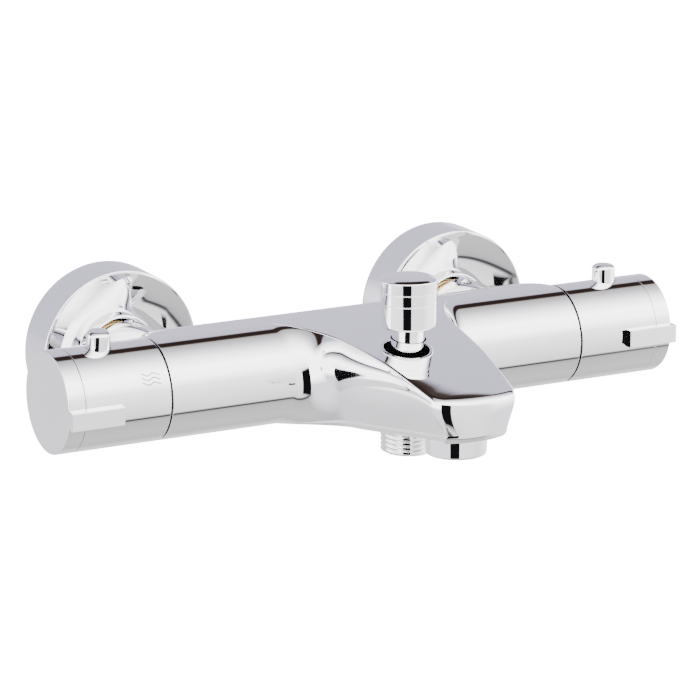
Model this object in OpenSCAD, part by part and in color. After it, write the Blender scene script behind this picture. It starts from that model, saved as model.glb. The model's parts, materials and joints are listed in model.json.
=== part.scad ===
// Wall mounted thermostatic bath faucet.
// +X runs along the bar, +Y into the wall, +Z up.  The wall is the plane y = 0, and the
// origin lies on it, midway between the two inlets.  Sizes are in millimetres.

/* [Bar and wall] */
// Distance between the hot and the cold inlet
inlet_spacing = 150; // [140:1:175]
// Distance from the wall to the bar's axis
reach = 73; // [72:0.5:84]
// Diameter of the bar and of both handles
bar_d = 39; // [38:0.5:46]
// Length of the fixed body between the two handles
body_length = 179; // [172:1:215]
// Length of one handle with its end cap
handle_length = 41.6; // [38:0.2:50]
// Gap at the seam between the body and a handle
seam_gap = 0.8; // [0.4:0.1:1.2]

/* [Rear housing] */
// Gap between the wall and the back of the housing
housing_back = 48; // [46:0.5:50]
// Radius of the housing's rear edges
housing_edge_r = 16.5; // [12:0.5:18]
// Radius of the housing's ends, seen from above
housing_end_r = 11; // [6:0.5:12]

/* [Spout] */
// Distance from the bar's axis to the tip of the nose
spout_length = 94; // [90:1:112]
// Half width of the spout where it leaves the bar
spout_root_half_w = 29.4; // [28:0.2:34]
// Narrowing of each side, for each millimetre forward
spout_taper = 0.14; // [0.11:0.01:0.16]
// Radius of the long curve of the top face
spout_top_r = 345; // [320:5:500]
// Rise of the underside, for each millimetre forward
spout_rise = 0.1; // [0.06:0.01:0.11]
// Radius of the nose's two corners, seen from above
nose_corner_r = 10; // [8:0.5:11]
// Radius of the nose's lower edge
nose_edge_r = 7.5; // [5:0.5:8]

/* [Places on the spout] */
// Distance from the bar's axis to the diverter and the hose outlet
diverter_forward = 38.4; // [37:0.2:41]
// Distance from the bar's axis to the aerator
aerator_forward = 74.2; // [72:0.2:76]

/* [Wall side] */
// Diameter of a wall flange at the wall
flange_d = 66; // [58:1:70]
// Depth of a wall flange
flange_depth = 18; // [17:0.5:20]
// Wall thickness of a flange
flange_wall = 1.8; // [1.2:0.1:2.2]
// Outside diameter of a union nut
nut_d = 30.4; // [30:0.2:34]
// Outside diameter of the body's inlet bosses
boss_d = 28; // [27:0.5:31]
// Height of the mixer above the pipes in the wall, taken up by the eccentric unions
union_offset = 3.5; // [0:0.5:5]
// Outside diameter of the pipe thread in the wall, and of the hose thread
pipe_thread_d = 20.955; // [20.955]
// Outside diameter of the union thread
union_thread_d = 26.44; // [26.44]

/* [Handles] */
// Wall thickness of a handle sleeve
sleeve_wall = 2.5; // [1.5:0.1:3]
// Thickness of an end cap
cap_t = 7; // [5:0.5:8]
// Diameter of a push button
button_d = 9.2; // [8:0.1:10]
// Height of a push button above the sleeve
button_proud = 6.8; // [5:0.2:8]
// Travel of a push button
button_travel = 2.5; // [1.5:0.1:3]
// Distance from the seam to a button's axis
button_from_seam = 22; // [20:0.5:24]
// Length of the small lever on a handle
lever_length = 21.5; // [18:0.5:24]
// Height of the small lever
lever_h = 7.2; // [5:0.2:9]
// How far the small lever stands in front of the handle
lever_proud = 3.3; // [2:0.1:5]
// Turn of the flow handle as it stands closed, in degrees
flow_rest_turn = 6.5; // [0:0.5:10]

/* [Diverter] */
// Diameter of the diverter knob
knob_d = 22.2; // [18:0.2:24]
// Height of the knob's grip
knob_h = 19.8; // [16:0.1:22]
// Gap between the spout and the knob
knob_gap = 4.6; // [3:0.2:6]
// Diameter of the knob's neck
neck_d = 12.4; // [10:0.2:12.6]
// Diameter of the diverter stem
stem_d = 6; // [5:0.2:6.4]
// Travel of the diverter
diverter_travel = 6.8; // [5:0.1:7]

/* [Outlets] */
// Length of the hose outlet below its seat in the spout
hose_outlet_length = 11.4; // [9:0.2:13]
// Length of the plain neck above the hose thread
hose_neck_length = 2.2; // [2.1:0.1:3]
// Diameter of the water way through the hose outlet
hose_bore_d = 12; // [9:0.5:13]
// Diameter of the aerator's ring
aerator_d = 23.5; // [22.5:0.1:24.5]
// Lowest point of the aerator, below the bar's axis
aerator_drop = 18.6; // [18:0.2:22]

/* [Cartridges] */
// Diameter of the thermostat's socket in the body
thermo_socket_d = 28; // [26:0.5:29]
// Length of the thermostat's socket
thermo_socket_length = 44; // [44:0.5:60]
// Diameter of the flow cartridge's socket
flow_socket_d = 25; // [23:0.5:25]
// Length of the flow cartridge's socket
flow_socket_length = 28; // [26:0.5:34]
// Diameter of the mixed water channel between the sockets
mixed_channel_d = 14; // [10:0.5:16]
// Diameter of the spindles
spindle_d = 10; // [8:0.5:11]

/* [Fits] */
// Radial clearance of a part that turns or slides
run = 0.05; // [0.03:0.01:0.08]
// Gap between parts that only stand next to each other
gap = 0.1; // [0.05:0.01:0.2]

/* [Hidden] */

$fn = 72;
cut = 0.01;                    // overlap of a cut with the face it opens

chrome = [0.80, 0.79, 0.84];
raw_brass = [0.80, 0.66, 0.36];
black_rubber = [0.10, 0.10, 0.10];
white_plastic = [0.92, 0.92, 0.90];
grey_plastic = [0.45, 0.46, 0.48];
blue_plastic = [0.25, 0.40, 0.65];
white_ceramic = [0.95, 0.95, 0.93];
steel = [0.70, 0.71, 0.73];
copper = [0.80, 0.45, 0.28];

bar_r = bar_d / 2;
inlet_x = inlet_spacing / 2;
body_end = body_length / 2 - seam_gap / 2;        // end face of the body
sleeve_start = body_length / 2 + seam_gap / 2;    // first edge of a handle
handle_end = sleeve_start + handle_length;        // outer face of an end cap
sleeve_end = handle_end - cap_t;
sleeve_in_r = bar_r - sleeve_wall;
spindle_r = spindle_d / 2;
chamfer = 0.5;
flush = 0.15;                  // flat tops lie this far below the bar's highest line, so they cut into it

// ---- stations of one inlet, as distances from the wall towards the bar ----
union_flat = 5;                // thickness of the union's round shoulder
union_thread_end = 13.2;
tail_collar_face = 15;         // the washer sits between these two faces
tail_collar_t = 1.5;
nut_front = 19;
nut_lip_t = nut_front - tail_collar_face - tail_collar_t - gap;
boss_start = 22.5;
tail_end = 30;
tail_neck_r = 11;
tail_bore_r = 8.2;
boss_bore_end = 38.5;
inlet_way_r = 6;
union_r = union_thread_d / 2;
pipe_r = pipe_thread_d / 2;
flange_hub_depth = 10;         // depth of the dish at its centre

// ---- water channels in the body ----
hot_channel_y = -56;
hot_channel_r = 3.5;
hot_way_x = body_end - thermo_socket_length + 5;  // where hot water enters the socket
outlet_channel_r = 3.8;
outlet_channel_forward = 13.2;
outlet_channel_z = -4;

// ---- stations of the thermostat, along +X ----
thermo_floor = body_end - thermo_socket_length;
thermo_socket_r = thermo_socket_d / 2;
thermo_nut_t = 8;
thermo_nut_end = body_end - 0.6;
thermo_nut_start = thermo_nut_end - thermo_nut_t;
thermo_start = thermo_floor + 1;
thermo_neck_end = body_end + 7;
thermo_in_r = 9;
thermo_out_r = thermo_socket_r - 0.6;
thermo_neck_r = 8.2;
piston_x = thermo_start + 8;

// ---- stations of the flow cartridge, as distances from the middle ----
flow_floor = body_end - flow_socket_length;
flow_socket_r = flow_socket_d / 2;
flow_seal_t = 2.6;
flow_disc_t = 2.5;
flow_body_start = flow_floor + gap;
flow_body_end = body_end - 0.6;
flow_neck_end = body_end + 7;
flow_in_r = 9;
flow_fixed_x = flow_floor + flow_seal_t + gap;
flow_moving_x = flow_fixed_x + flow_disc_t + gap / 2;
flow_carrier_x = flow_moving_x + flow_disc_t + gap / 2;
flow_carrier_t = 4;

// ---- stations inside a handle, as distances from the middle ----
hub_start = sleeve_start + 10;
hub_end = sleeve_start + 28;
spline_start = sleeve_start + 7.5;
spline_end = sleeve_start + 18;
spline_r = spindle_r - 0.1;
hub_web_t = 1.6;
screw_r = 2;
screw_head_r = 4.2;
screw_head_h = 3.2;
button_x = sleeve_start + button_from_seam - 0.4;
button_r = button_d / 2;
button_flange_r = button_r + 1;
button_flange_t = 1.4;
button_flange_top = bar_r - 4;      // below the sleeve's inner face
button_top = bar_r + button_proud;
button_pocket_floor = button_flange_top - button_flange_t - button_travel - 3.4;
button_stem_r = 2;
spring_wire = 0.35;
lever_seat = bar_r - 1.9;           // radius of the lever's flat back
lever_end = handle_end + 0.3;

// ---- heights at the diverter ----
function spout_top(forward) = bar_r - spout_top_r + sqrt(spout_top_r * spout_top_r - forward * forward);
function spout_under(forward) = -bar_r + spout_rise * forward;
diverter_y = -reach - diverter_forward;
aerator_y = -reach - aerator_forward;
face_z = spout_top(diverter_forward);
knob_z = face_z + knob_gap;
knob_top = knob_z + knob_h;
neck_r = neck_d / 2;
neck_hole_r = neck_r + 0.6;
neck_end = face_z - 4.1;
stem_r = stem_d / 2;
bush_top = face_z - 4.4;
bush_t = 4;
bush_floor = bush_top - bush_t;
gallery_r = neck_hole_r - 0.6;
seat_top = bush_floor - 6;
seat_t = 1.5;
seat_floor = seat_top - seat_t;
seat_hole_r = 5.2;
washer_t = 1.4;
valve_t = 2.2;
valve_r = 7.6;
valve_top = seat_floor - diverter_travel - gap;   // upper washer's face, knob down
valve_floor = valve_top - 2 * washer_t - valve_t; // lower washer's face
nipple_top = valve_floor - gap;
chamber_r = 9.2;
nipple_seat = spout_under(diverter_forward) + 0.5;
hose_neck_end = nipple_seat - hose_neck_length;
hose_neck_r = pipe_r - 1;
hose_end = nipple_seat - hose_outlet_length;
hose_chamfer = 0.8;
hose_bore_r = hose_bore_d / 2;

// ---- heights at the aerator ----
aerator_r = aerator_d / 2;
aerator_seat = spout_under(aerator_forward + aerator_r) - 0.1;
aerator_thread_r = 10.4;
aerator_thread_top = aerator_seat + 6.5;

// ---- helpers: round solids along one axis ----
module rod_x(x0, x1, r) translate([x0, -reach, 0]) rotate([0, 90, 0]) cylinder(r = r, h = x1 - x0);
module rod_y(x, back, front, r, z = 0)
    translate([x, -front, z]) rotate([-90, 0, 0]) cylinder(r = r, h = front - back);
module rod_z(y, z0, z1, r) translate([0, y, z0]) cylinder(r = r, h = z1 - z0);
module tube_x(x0, x1, r_out, r_in) difference() {
    rod_x(x0, x1, r_out);
    rod_x(x0 - cut, x1 + cut, r_in);
}
module tube_y(x, back, front, r_out, r_in) difference() {
    rod_y(x, back, front, r_out);
    rod_y(x, back - cut, front + cut, r_in);
}
module tube_z(y, z0, z1, r_out, r_in) difference() {
    rod_z(y, z0, z1, r_out);
    rod_z(y, z0 - cut, z1 + cut, r_in);
}
// Profile points are [radius, distance along the axis].
module turned_x(points) translate([0, -reach, 0]) rotate([0, 90, 0]) rotate_extrude() polygon(points);
module turned_y(x, points) translate([x, 0, 0]) rotate([90, 0, 0]) rotate_extrude() polygon(points);
module turned_z(y, points) translate([0, y, 0]) rotate_extrude() polygon(points);
module o_ring(major_r, minor_r) rotate_extrude() translate([major_r, 0]) circle(r = minor_r, $fn = 24);

// Extrudes a section drawn in (y, z) along X.
module along_x(x0, x1) translate([x0, 0, 0]) rotate([90, 0, 90]) linear_extrude(x1 - x0) children();

// The left side is the right side's mirror image.
module on_side(side) if (side > 0) children(); else mirror([1, 0, 0]) children();

// Turns something about the bar's axis.
module about_bar(angle) translate([0, -reach, 0]) rotate([angle, 0, 0]) translate([0, reach, 0]) children();
function rest_turn(side) = side > 0 ? 0 : flow_rest_turn;

// A coil spring along +Z: one closed tube swept along a helix.
spring_steps = 10;
spring_sides = 6;
function spring_point(i, j, r, wire, length, turns) =
    let (turn = 360 * i / spring_steps, side = 360 * j / spring_sides, rr = r + wire * cos(side))
    [rr * cos(turn), rr * sin(turn), length * i / (spring_steps * turns) + wire * sin(side)];
module spring(r, wire, length, turns) {
    rings = spring_steps * turns;
    polyhedron(
        points = [for (i = [0:rings]) for (j = [0:spring_sides - 1])
            spring_point(i, j, r, wire, length, turns)],
        faces = concat(
            [[for (j = [0:spring_sides - 1]) j]],
            [for (i = [0:rings - 1]) for (j = [0:spring_sides - 1])
                let (a = i * spring_sides, b = a + spring_sides, k = (j + 1) % spring_sides)
                [a + j, b + j, b + k, a + k]],
            [[for (j = [spring_sides - 1:-1:0]) rings * spring_sides + j]]));
}

// ================= body =================
module housing_section() {
    half = bar_r - flush;
    translate([-reach, -half]) square([reach - housing_back - housing_edge_r, 2 * half]);
    for (z = [-1, 1]) translate([-housing_back - housing_edge_r, z * (half - housing_edge_r)])
        circle(r = housing_edge_r);
    translate([-housing_back - housing_edge_r, housing_edge_r - half])
        square([housing_edge_r, 2 * (half - housing_edge_r)]);
}
housing_end_step = 1.6;        // the housing stops short of the body's end faces
module housing_plan() {
    half = body_end - housing_end_step;
    back = -housing_back;
    translate([-half, -reach]) square([2 * half, reach + back - housing_end_r]);
    for (x = [-1, 1]) translate([x * (half - housing_end_r), back - housing_end_r]) circle(r = housing_end_r);
    translate([housing_end_r - half, back - housing_end_r])
        square([2 * (half - housing_end_r), housing_end_r]);
}
module rear_housing() intersection() {
    along_x(-body_end, body_end) housing_section();
    translate([0, 0, -bar_r]) linear_extrude(bar_d) housing_plan();
}
module spout_side() intersection() {
    translate([-reach, bar_r - flush - spout_top_r]) circle(r = spout_top_r, $fn = 360);
    union() {
        nose = spout_length - nose_edge_r;
        polygon([[-reach - 1, bar_d], [-reach - spout_length, bar_d],
            [-reach - spout_length, spout_under(nose) + nose_edge_r],
            [-reach - nose, spout_under(nose) + nose_edge_r],
            [-reach - nose, spout_under(nose)], [-reach - 1, spout_under(1)]]);
        translate([-reach - nose, spout_under(nose) + nose_edge_r]) circle(r = nose_edge_r);
    }
}
module spout_plan() {
    corner_forward = spout_length - nose_corner_r - 1.5;
    corner_half = spout_root_half_w - spout_taper * corner_forward;
    corner_x = corner_half - nose_corner_r;
    nose_arc_r = 4 * nose_corner_r;
    polygon([[-spout_root_half_w, -reach], [-corner_half, -reach - corner_forward],
        [corner_half, -reach - corner_forward], [spout_root_half_w, -reach]]);
    for (x = [-corner_x, corner_x]) translate([x, -reach - corner_forward]) circle(r = nose_corner_r);
    intersection() {
        translate([0, nose_arc_r - spout_length - reach]) circle(r = nose_arc_r);
        translate([-corner_x, -reach - spout_length])
            square([2 * corner_x, spout_length - corner_forward]);
    }
}
module spout() intersection() {
    along_x(-spout_root_half_w, spout_root_half_w) spout_side();
    translate([0, 0, -bar_r]) linear_extrude(bar_d) spout_plan();
}
module water_ways() {
    // cartridge sockets and the mixed water channel between them
    rod_x(thermo_floor, body_end + cut, thermo_socket_r);
    rod_x(-body_end - cut, -flow_floor, flow_socket_r);
    rod_x(-flow_floor - cut, thermo_floor + cut, mixed_channel_d / 2);
    // inlets: cold into the thermostat's socket, hot along the housing to its inner end
    for (side = [-1, 1]) {
        rod_y(side * inlet_x, boss_start - cut, tail_end + 0.5, tail_neck_r + run);
        rod_y(side * inlet_x, tail_end, boss_bore_end, tail_bore_r);
    }
    rod_y(inlet_x, boss_bore_end - cut, reach - thermo_socket_r + 3, inlet_way_r);
    rod_y(-inlet_x, boss_bore_end - cut, -hot_channel_y, inlet_way_r);
    translate([-inlet_x, hot_channel_y, 0]) rotate([0, 90, 0])
        cylinder(r = hot_channel_r, h = inlet_x + hot_way_x);
    rod_y(hot_way_x, -hot_channel_y, reach - thermo_socket_r + 3, hot_channel_r);
    // outlet: from the flow cartridge to the diverter chamber
    translate([-flow_floor - 6, -reach - outlet_channel_forward, outlet_channel_z])
        rotate([0, 90, 0]) cylinder(r = outlet_channel_r, h = flow_floor + 6 + outlet_channel_r);
    rod_y(0, reach + outlet_channel_forward, reach + diverter_forward - chamber_r / 2,
        outlet_channel_r, outlet_channel_z);
    // diverter, from the underside up to the top face
    rod_z(diverter_y, nipple_seat - 4, nipple_seat, pipe_r + 0.3);
    rod_z(diverter_y, nipple_seat - cut, seat_floor, chamber_r);
    rod_z(diverter_y, seat_floor - cut, seat_top + cut, seat_hole_r);
    rod_z(diverter_y, seat_top, bush_floor, gallery_r);
    rod_z(diverter_y, bush_floor - cut, bar_r + 1, neck_hole_r);
    // spout channel, sloping down from the gallery to the aerator
    spout_drop = seat_top + 3 - (aerator_thread_top + 1);
    run_length = aerator_forward - diverter_forward;
    translate([0, diverter_y, seat_top + 3]) rotate([90 + atan(spout_drop / run_length), 0, 0])
        cylinder(r = outlet_channel_r, h = sqrt(run_length * run_length + spout_drop * spout_drop));
    rod_z(aerator_y, aerator_thread_top - cut, aerator_thread_top + 3, inlet_way_r);
    rod_z(aerator_y, aerator_seat - cut, aerator_thread_top, aerator_thread_r + run);
    rod_z(aerator_y, -bar_r, aerator_seat, aerator_r + 0.15);
}
module inlet_bosses() intersection() {
    for (side = [-1, 1]) rod_y(side * inlet_x, boss_start, housing_back + 12, boss_d / 2);
    translate([-body_end, -reach, -bar_d]) cube([2 * body_end, reach, 2 * bar_d]);
}
module mixer_body() color(chrome) difference() {
    union() {
        rod_x(-body_end, body_end, bar_r);
        rear_housing();
        spout();
        inlet_bosses();
    }
    water_ways();
}

// ================= wall side =================
function dish(r) = let (t = (r - union_r) / (flange_d / 2 - 1.1 - union_r))
    flange_hub_depth + (flange_depth - flange_hub_depth) * t * t;
module wall_flange(side) color(chrome) {
    rim_r = flange_d / 2;
    lip_r = rim_r - 0.5;
    turned_y(side * inlet_x, concat(
        [[rim_r, 0], [lip_r, flange_depth - 0.5], [lip_r - 0.5, flange_depth]],
        [for (i = [7:-1:0]) let (r = union_r + run + (lip_r - 1 - union_r - run) * i / 7) [r, dish(r)]],
        [[union_r + run, flange_hub_depth - 4], [union_r + 3, flange_hub_depth - 4]],
        [for (i = [1:6]) let (r = union_r + 3 + (lip_r - flange_wall - union_r - 3.5) * i / 6)
            [r, dish(r) - flange_wall]],
        [[rim_r - flange_wall, 0]]));
}
wall_thread_length = 14;       // threaded end of a union, inside the wall
wall_bore_r = 7;
union_bore_r = 7.5;
union_flange_face = 0.2;       // the union's flange stands just clear of the wall
module eccentric_union(side) color(raw_brass) difference() {
    union() {
        rod_y(side * inlet_x, -wall_thread_length, 0.5, pipe_r, -union_offset);
        rod_y(side * inlet_x, union_flange_face, union_flat, union_r + 1.5, -union_offset / 2);
        rod_y(side * inlet_x, union_flat - 0.5, union_thread_end, union_r);
    }
    rod_y(side * inlet_x, -wall_thread_length - cut, 3, wall_bore_r, -union_offset);
    rod_y(side * inlet_x, 2.5, union_thread_end + cut, union_bore_r);
}
module union_nut(side) color(chrome) {
    r = nut_d / 2;
    lip_start = nut_front - nut_lip_t;
    turned_y(side * inlet_x, [[union_r + run, flange_hub_depth + 0.2], [r, flange_hub_depth + 2.4],
        [r, nut_front - 0.9], [r - 0.9, nut_front], [tail_neck_r + gap, nut_front],
        [tail_neck_r + gap, lip_start], [union_r + run, lip_start]]);
}
module inlet_tail(side) color(raw_brass) difference() {
    union() {
        rod_y(side * inlet_x, tail_collar_face, tail_collar_face + tail_collar_t, union_r - 0.4);
        rod_y(side * inlet_x, tail_collar_face, tail_end, tail_neck_r);
    }
    rod_y(side * inlet_x, tail_collar_face - cut, tail_end + cut, tail_bore_r);
}
module inlet_washers() color(black_rubber) for (side = [-1, 1])
    tube_y(side * inlet_x, union_thread_end + gap / 2, tail_collar_face - gap / 2, union_r - 0.6, tail_bore_r + 0.3);
module inlet_filter(side) color(steel) difference() {
    rod_y(side * inlet_x, tail_collar_face, tail_collar_face + 7, tail_bore_r - gap);
    rod_y(side * inlet_x, tail_collar_face - cut, tail_collar_face + 6.4, tail_bore_r - 0.8);
    for (turn = [0:60:300]) translate([side * inlet_x, 0, 0]) rotate([0, turn, 0])
        rod_y(0, tail_collar_face + 6, tail_collar_face + 8, 1.2, 4.4);
}
check_start = 24;
check_seat = check_start + 2.5;
check_seat_t = 1.2;
check_end = boss_bore_end - 0.4;
check_travel = 1.5;
poppet_r = 5.2;
module check_valve(side) color(blue_plastic) difference() {
    rod_y(side * inlet_x, check_start, check_end, tail_bore_r - gap);
    rod_y(side * inlet_x, check_start - cut, check_seat + cut, 5.4);
    rod_y(side * inlet_x, check_seat, check_seat + check_seat_t + cut, 3.6);
    rod_y(side * inlet_x, check_seat + check_seat_t, check_end - 1.4, 6.8);
    rod_y(side * inlet_x, check_end - 1.5, check_end + cut, 1.5 + run);
    for (turn = [45:90:315]) translate([side * inlet_x, 0, 0]) rotate([0, turn, 0])
        rod_y(0, check_end - 1.5, check_end + cut, 1.4, 4.6);
}
module check_poppet(side) color(white_plastic) {
    face = check_seat + check_seat_t + gap;
    rod_y(side * inlet_x, face, face + 1.6, poppet_r);
    rod_y(side * inlet_x, face + 1.5, check_end + 0.2, 1.5);
}
module check_springs() color(steel) for (side = [-1, 1])
    translate([side * inlet_x, -check_end + 1.4 + 0.5, 0]) rotate([-90, 0, 0]) spring(3.2, 0.35, 3.2, 3);

// ================= handles, the same for both sides =================
module handle_sleeve(side) color(chrome) on_side(side) about_bar(rest_turn(side)) difference() {
    turned_x([[sleeve_in_r, sleeve_start], [bar_r - 0.3, sleeve_start], [bar_r, sleeve_start + 0.3],
        [bar_r, sleeve_end - 0.2], [bar_r - 0.2, sleeve_end], [sleeve_in_r, sleeve_end]]);
    translate([button_x, -reach, 0]) cylinder(r = button_r + 0.15, h = bar_d);
    lever_slot();
}
module lever_slot()
    translate([lever_end - lever_length - gap / 2, -reach - bar_r - 5, -lever_h / 2 - gap / 2])
        cube([lever_length + 5, bar_r + 5 - lever_seat + gap, lever_h + gap]);
module end_cap(side) color(chrome) on_side(side) about_bar(rest_turn(side)) difference() {
    start = sleeve_end + 0.2;
    turned_x([[0, start - 3], [sleeve_in_r - gap, start - 3], [sleeve_in_r - gap, start], [bar_r - 0.2, start],
        [bar_r, start + 0.2], [bar_r, handle_end - chamfer], [bar_r - chamfer, handle_end], [0, handle_end]]);
    lever_slot();
}
module lever(side) color(chrome) on_side(side) about_bar(rest_turn(side))
    translate([lever_end - lever_length, -reach - bar_r - lever_proud, -lever_h / 2])
        cube([lever_length, bar_r + lever_proud - lever_seat, lever_h]);
module handle_hub(side) color(grey_plastic) on_side(side) about_bar(rest_turn(side)) difference() {
    rod_x(hub_start, hub_end, sleeve_in_r - run);
    rod_x(hub_start - cut, spline_end + 0.4, spindle_r);
    rod_x(spline_end, spline_end + 0.5 + hub_web_t, screw_r + 0.3);
    rod_x(spline_end + 0.4 + hub_web_t, hub_end + cut, screw_head_r + 0.4);
    translate([button_x, -reach, button_pocket_floor]) cylinder(r = button_flange_r + 0.3, h = bar_r);
}
module handle_screw(side) color(steel) on_side(side) about_bar(rest_turn(side)) difference() {
    head = spline_end + 0.4 + hub_web_t;
    union() {
        rod_x(spline_end - 10, head + 0.2, screw_r);
        rod_x(head, head + screw_head_h, screw_head_r);
    }
    translate([head + 1.2, -reach, 0]) rotate([0, 90, 0]) cylinder(r = 1.7, h = 4, $fn = 6);
}
module push_button(side, tint) color(tint) on_side(side) about_bar(rest_turn(side))
    translate([button_x, 0, 0]) turned_z(-reach, [
        [0, button_top], [button_r * 0.55, button_top - 0.25], [button_r - 0.8, button_top - 0.8],
        [button_r, button_top - 2.2], [button_r, button_flange_top], [button_flange_r, button_flange_top],
        [button_flange_r, button_flange_top - button_flange_t], [button_stem_r, button_flange_top - button_flange_t],
        [button_stem_r, button_pocket_floor + button_travel + 0.3], [0, button_pocket_floor + button_travel + 0.3]]);
module button_spring(side) color(steel) on_side(side) about_bar(rest_turn(side))
    translate([button_x, -reach, button_pocket_floor + 0.4])
        spring(3.6, spring_wire, button_flange_top - button_flange_t - button_pocket_floor - 0.8, 4);

// Splined end of a spindle, with its tapped hole for the handle screw.
spline_teeth = 16;
module spindle_end() difference() {
    rod_x(spline_start, spline_end, spline_r);
    for (i = [0:spline_teeth - 1]) about_bar(360 * (i + 0.5) / spline_teeth)
        translate([spline_start + 1, 0, spline_r]) translate([0, -reach, 0]) rotate([0, 90, 0])
            cylinder(r = 0.45, h = spline_end, $fn = 16);
}
module spindle_hole() rod_x(spline_end - 11, spline_end + cut, screw_r + 0.05);

// ================= flow cartridge =================
module flow_cartridge_body() color(raw_brass) on_side(-1) difference() {
    union() {
        rod_x(flow_body_start, flow_body_end, flow_socket_r - run);
        rod_x(flow_body_end - 1, flow_neck_end, thermo_neck_r);
    }
    rod_x(flow_body_start - cut, flow_carrier_x + flow_carrier_t + gap, flow_in_r);
    rod_x(flow_body_start, flow_neck_end + cut, spindle_r + run);
    // windows towards the outlet channel
    for (turn = [0:90:270]) about_bar(turn) translate([flow_carrier_x + 2.2, -reach - flow_socket_r - 1, 0])
        rotate([-90, 0, 0]) cylinder(r = 1.7, h = flow_socket_r - flow_in_r + 3);
    // groove of the outer O-ring
    tube_x(flow_body_end - 7, flow_body_end - 4.8, flow_socket_r + 1, flow_socket_r - 1.8);
}
module flow_seat_seal() color(black_rubber) on_side(-1)
    tube_x(flow_body_start, flow_body_start + flow_seal_t - gap, flow_in_r - gap, 6);
module flow_port(x, t, turn) about_bar(turn) translate([x, -reach, 4.9]) rotate([0, 90, 0]) cylinder(r = 2.9, h = t);
module flow_fixed_disc() color(white_ceramic) on_side(-1) difference() {
    rod_x(flow_fixed_x, flow_fixed_x + flow_disc_t, flow_in_r - gap);
    for (turn = [0, 180]) flow_port(flow_fixed_x - 1, flow_disc_t + 2, turn);
}
module flow_moving_disc() color(white_ceramic) on_side(-1) difference() {
    rod_x(flow_moving_x, flow_moving_x + flow_disc_t, flow_in_r - 0.2);
    for (turn = [90, 270]) flow_port(flow_moving_x - 1, flow_disc_t + 2, turn);
}
module flow_spindle() color(raw_brass) on_side(-1) difference() {
    union() {
        rod_x(flow_carrier_x, flow_carrier_x + flow_carrier_t, flow_in_r - 0.2);
        rod_x(flow_carrier_x, spline_start + 0.1, spindle_r);
        spindle_end();
    }
    for (turn = [90, 270]) flow_port(flow_carrier_x - 1, flow_carrier_t + 2, turn);
    spindle_hole();
    tube_x(flow_body_end - 4, flow_body_end - 2.2, spindle_r + 1, spindle_r - 1.2);
}
module flow_o_rings() color(black_rubber) on_side(-1) {
    translate([flow_body_end - 5.9, -reach, 0]) rotate([0, 90, 0]) o_ring(flow_socket_r - 0.95, 0.8);
    translate([flow_body_end - 3.1, -reach, 0]) rotate([0, 90, 0]) o_ring(spindle_r - 0.6, 0.55);
}
module stop_ring(inner_r, side) on_side(side) {
    tube_x(body_end + 2.4, body_end + 6, 12, inner_r);
    about_bar(150) translate([body_end + 2.4, -reach - 1.5, 11]) cube([3.6, 3, 3.4]);
}
module flow_stop_ring() color(white_plastic) stop_ring(thermo_neck_r + gap, -1);

// ================= thermostat =================
thermo_in_end = body_end - 12;
module thermostat_housing() color(grey_plastic) difference() {
    union() {
        rod_x(thermo_start, thermo_nut_start - gap, thermo_out_r);
        rod_x(thermo_nut_start - 1, thermo_neck_end, thermo_neck_r);
    }
    rod_x(thermo_start + 2, thermo_in_end, thermo_in_r);
    rod_x(thermo_start - cut, thermo_start + 2 + cut, 6.5);
    rod_x(thermo_start, thermo_neck_end + cut, spindle_r + run);
    for (x = [hot_way_x, inlet_x - 3]) for (turn = [0:45:315]) about_bar(turn)
        translate([x, -reach - thermo_socket_r, 0]) rotate([-90, 0, 0])
            cylinder(r = 1.5, h = thermo_socket_r - thermo_in_r + 2);
    for (x = thermo_ring_x) tube_x(x - 1.1, x + 1.1, thermo_socket_r + 1, thermo_out_r - 1.3);
}
thermo_ring_x = [thermo_start + 9, thermo_start + 14];
module thermostat_o_rings() color(black_rubber) for (x = thermo_ring_x)
    translate([x, -reach, 0]) rotate([0, 90, 0]) o_ring(thermo_socket_r - 1.05, 0.85);
module thermostat_retaining_nut() color(raw_brass) difference() {
    rod_x(thermo_nut_start, thermo_nut_end, thermo_socket_r - run);
    rod_x(thermo_nut_start - cut, thermo_nut_end + cut, thermo_neck_r + gap);
    // four spanner notches
    for (turn = [0:90:270]) about_bar(turn) translate([thermo_nut_end - 3, -reach - 2, thermo_socket_r - 2])
        cube([4, 4, 4]);
}
spindle_collar_x = thermo_in_end - 4;
module thermostat_spindle() color(raw_brass) difference() {
    union() {
        rod_x(spindle_collar_x, spindle_collar_x + 3.5, thermo_in_r - 0.4);
        rod_x(spindle_collar_x, spline_start + 0.1, spindle_r);
        rod_x(spindle_collar_x - 4, spindle_collar_x + 1, 5.6);
        spindle_end();
    }
    rod_x(spindle_collar_x - 4 - cut, spindle_collar_x + 6, 2.4);
    spindle_hole();
}
wax_bulb_end = piston_x + 8;
module wax_element() color(copper) {
    rod_x(thermo_start + 3, wax_bulb_end, 3);
    rod_x(wax_bulb_end - 1.6, wax_bulb_end, 4.8);
    rod_x(wax_bulb_end - 0.1, spindle_collar_x + 3, 1.6);
}
module regulating_piston() color(white_plastic) difference() {
    rod_x(piston_x, wax_bulb_end + 1.6, thermo_in_r - 0.06);
    rod_x(piston_x - cut, wax_bulb_end - 1.6, 7.6);
    rod_x(wax_bulb_end - 1.7, wax_bulb_end + gap, 4.8 + gap);
    rod_x(wax_bulb_end, wax_bulb_end + 2, 2);
    for (turn = [30:60:330]) about_bar(turn) translate([wax_bulb_end - 2, -reach, 6.7]) rotate([0, 90, 0])
        cylinder(r = 1, h = 5);
}
module piston_spring() color(steel)
    translate([thermo_start + 3.4, -reach, 0]) rotate([0, 90, 0])
        spring(5.6, 0.5, wax_bulb_end - 1.6 - thermo_start - 4.1, 4);
module temperature_stop_ring() color(white_plastic) stop_ring(thermo_neck_r + gap, 1);

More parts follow.
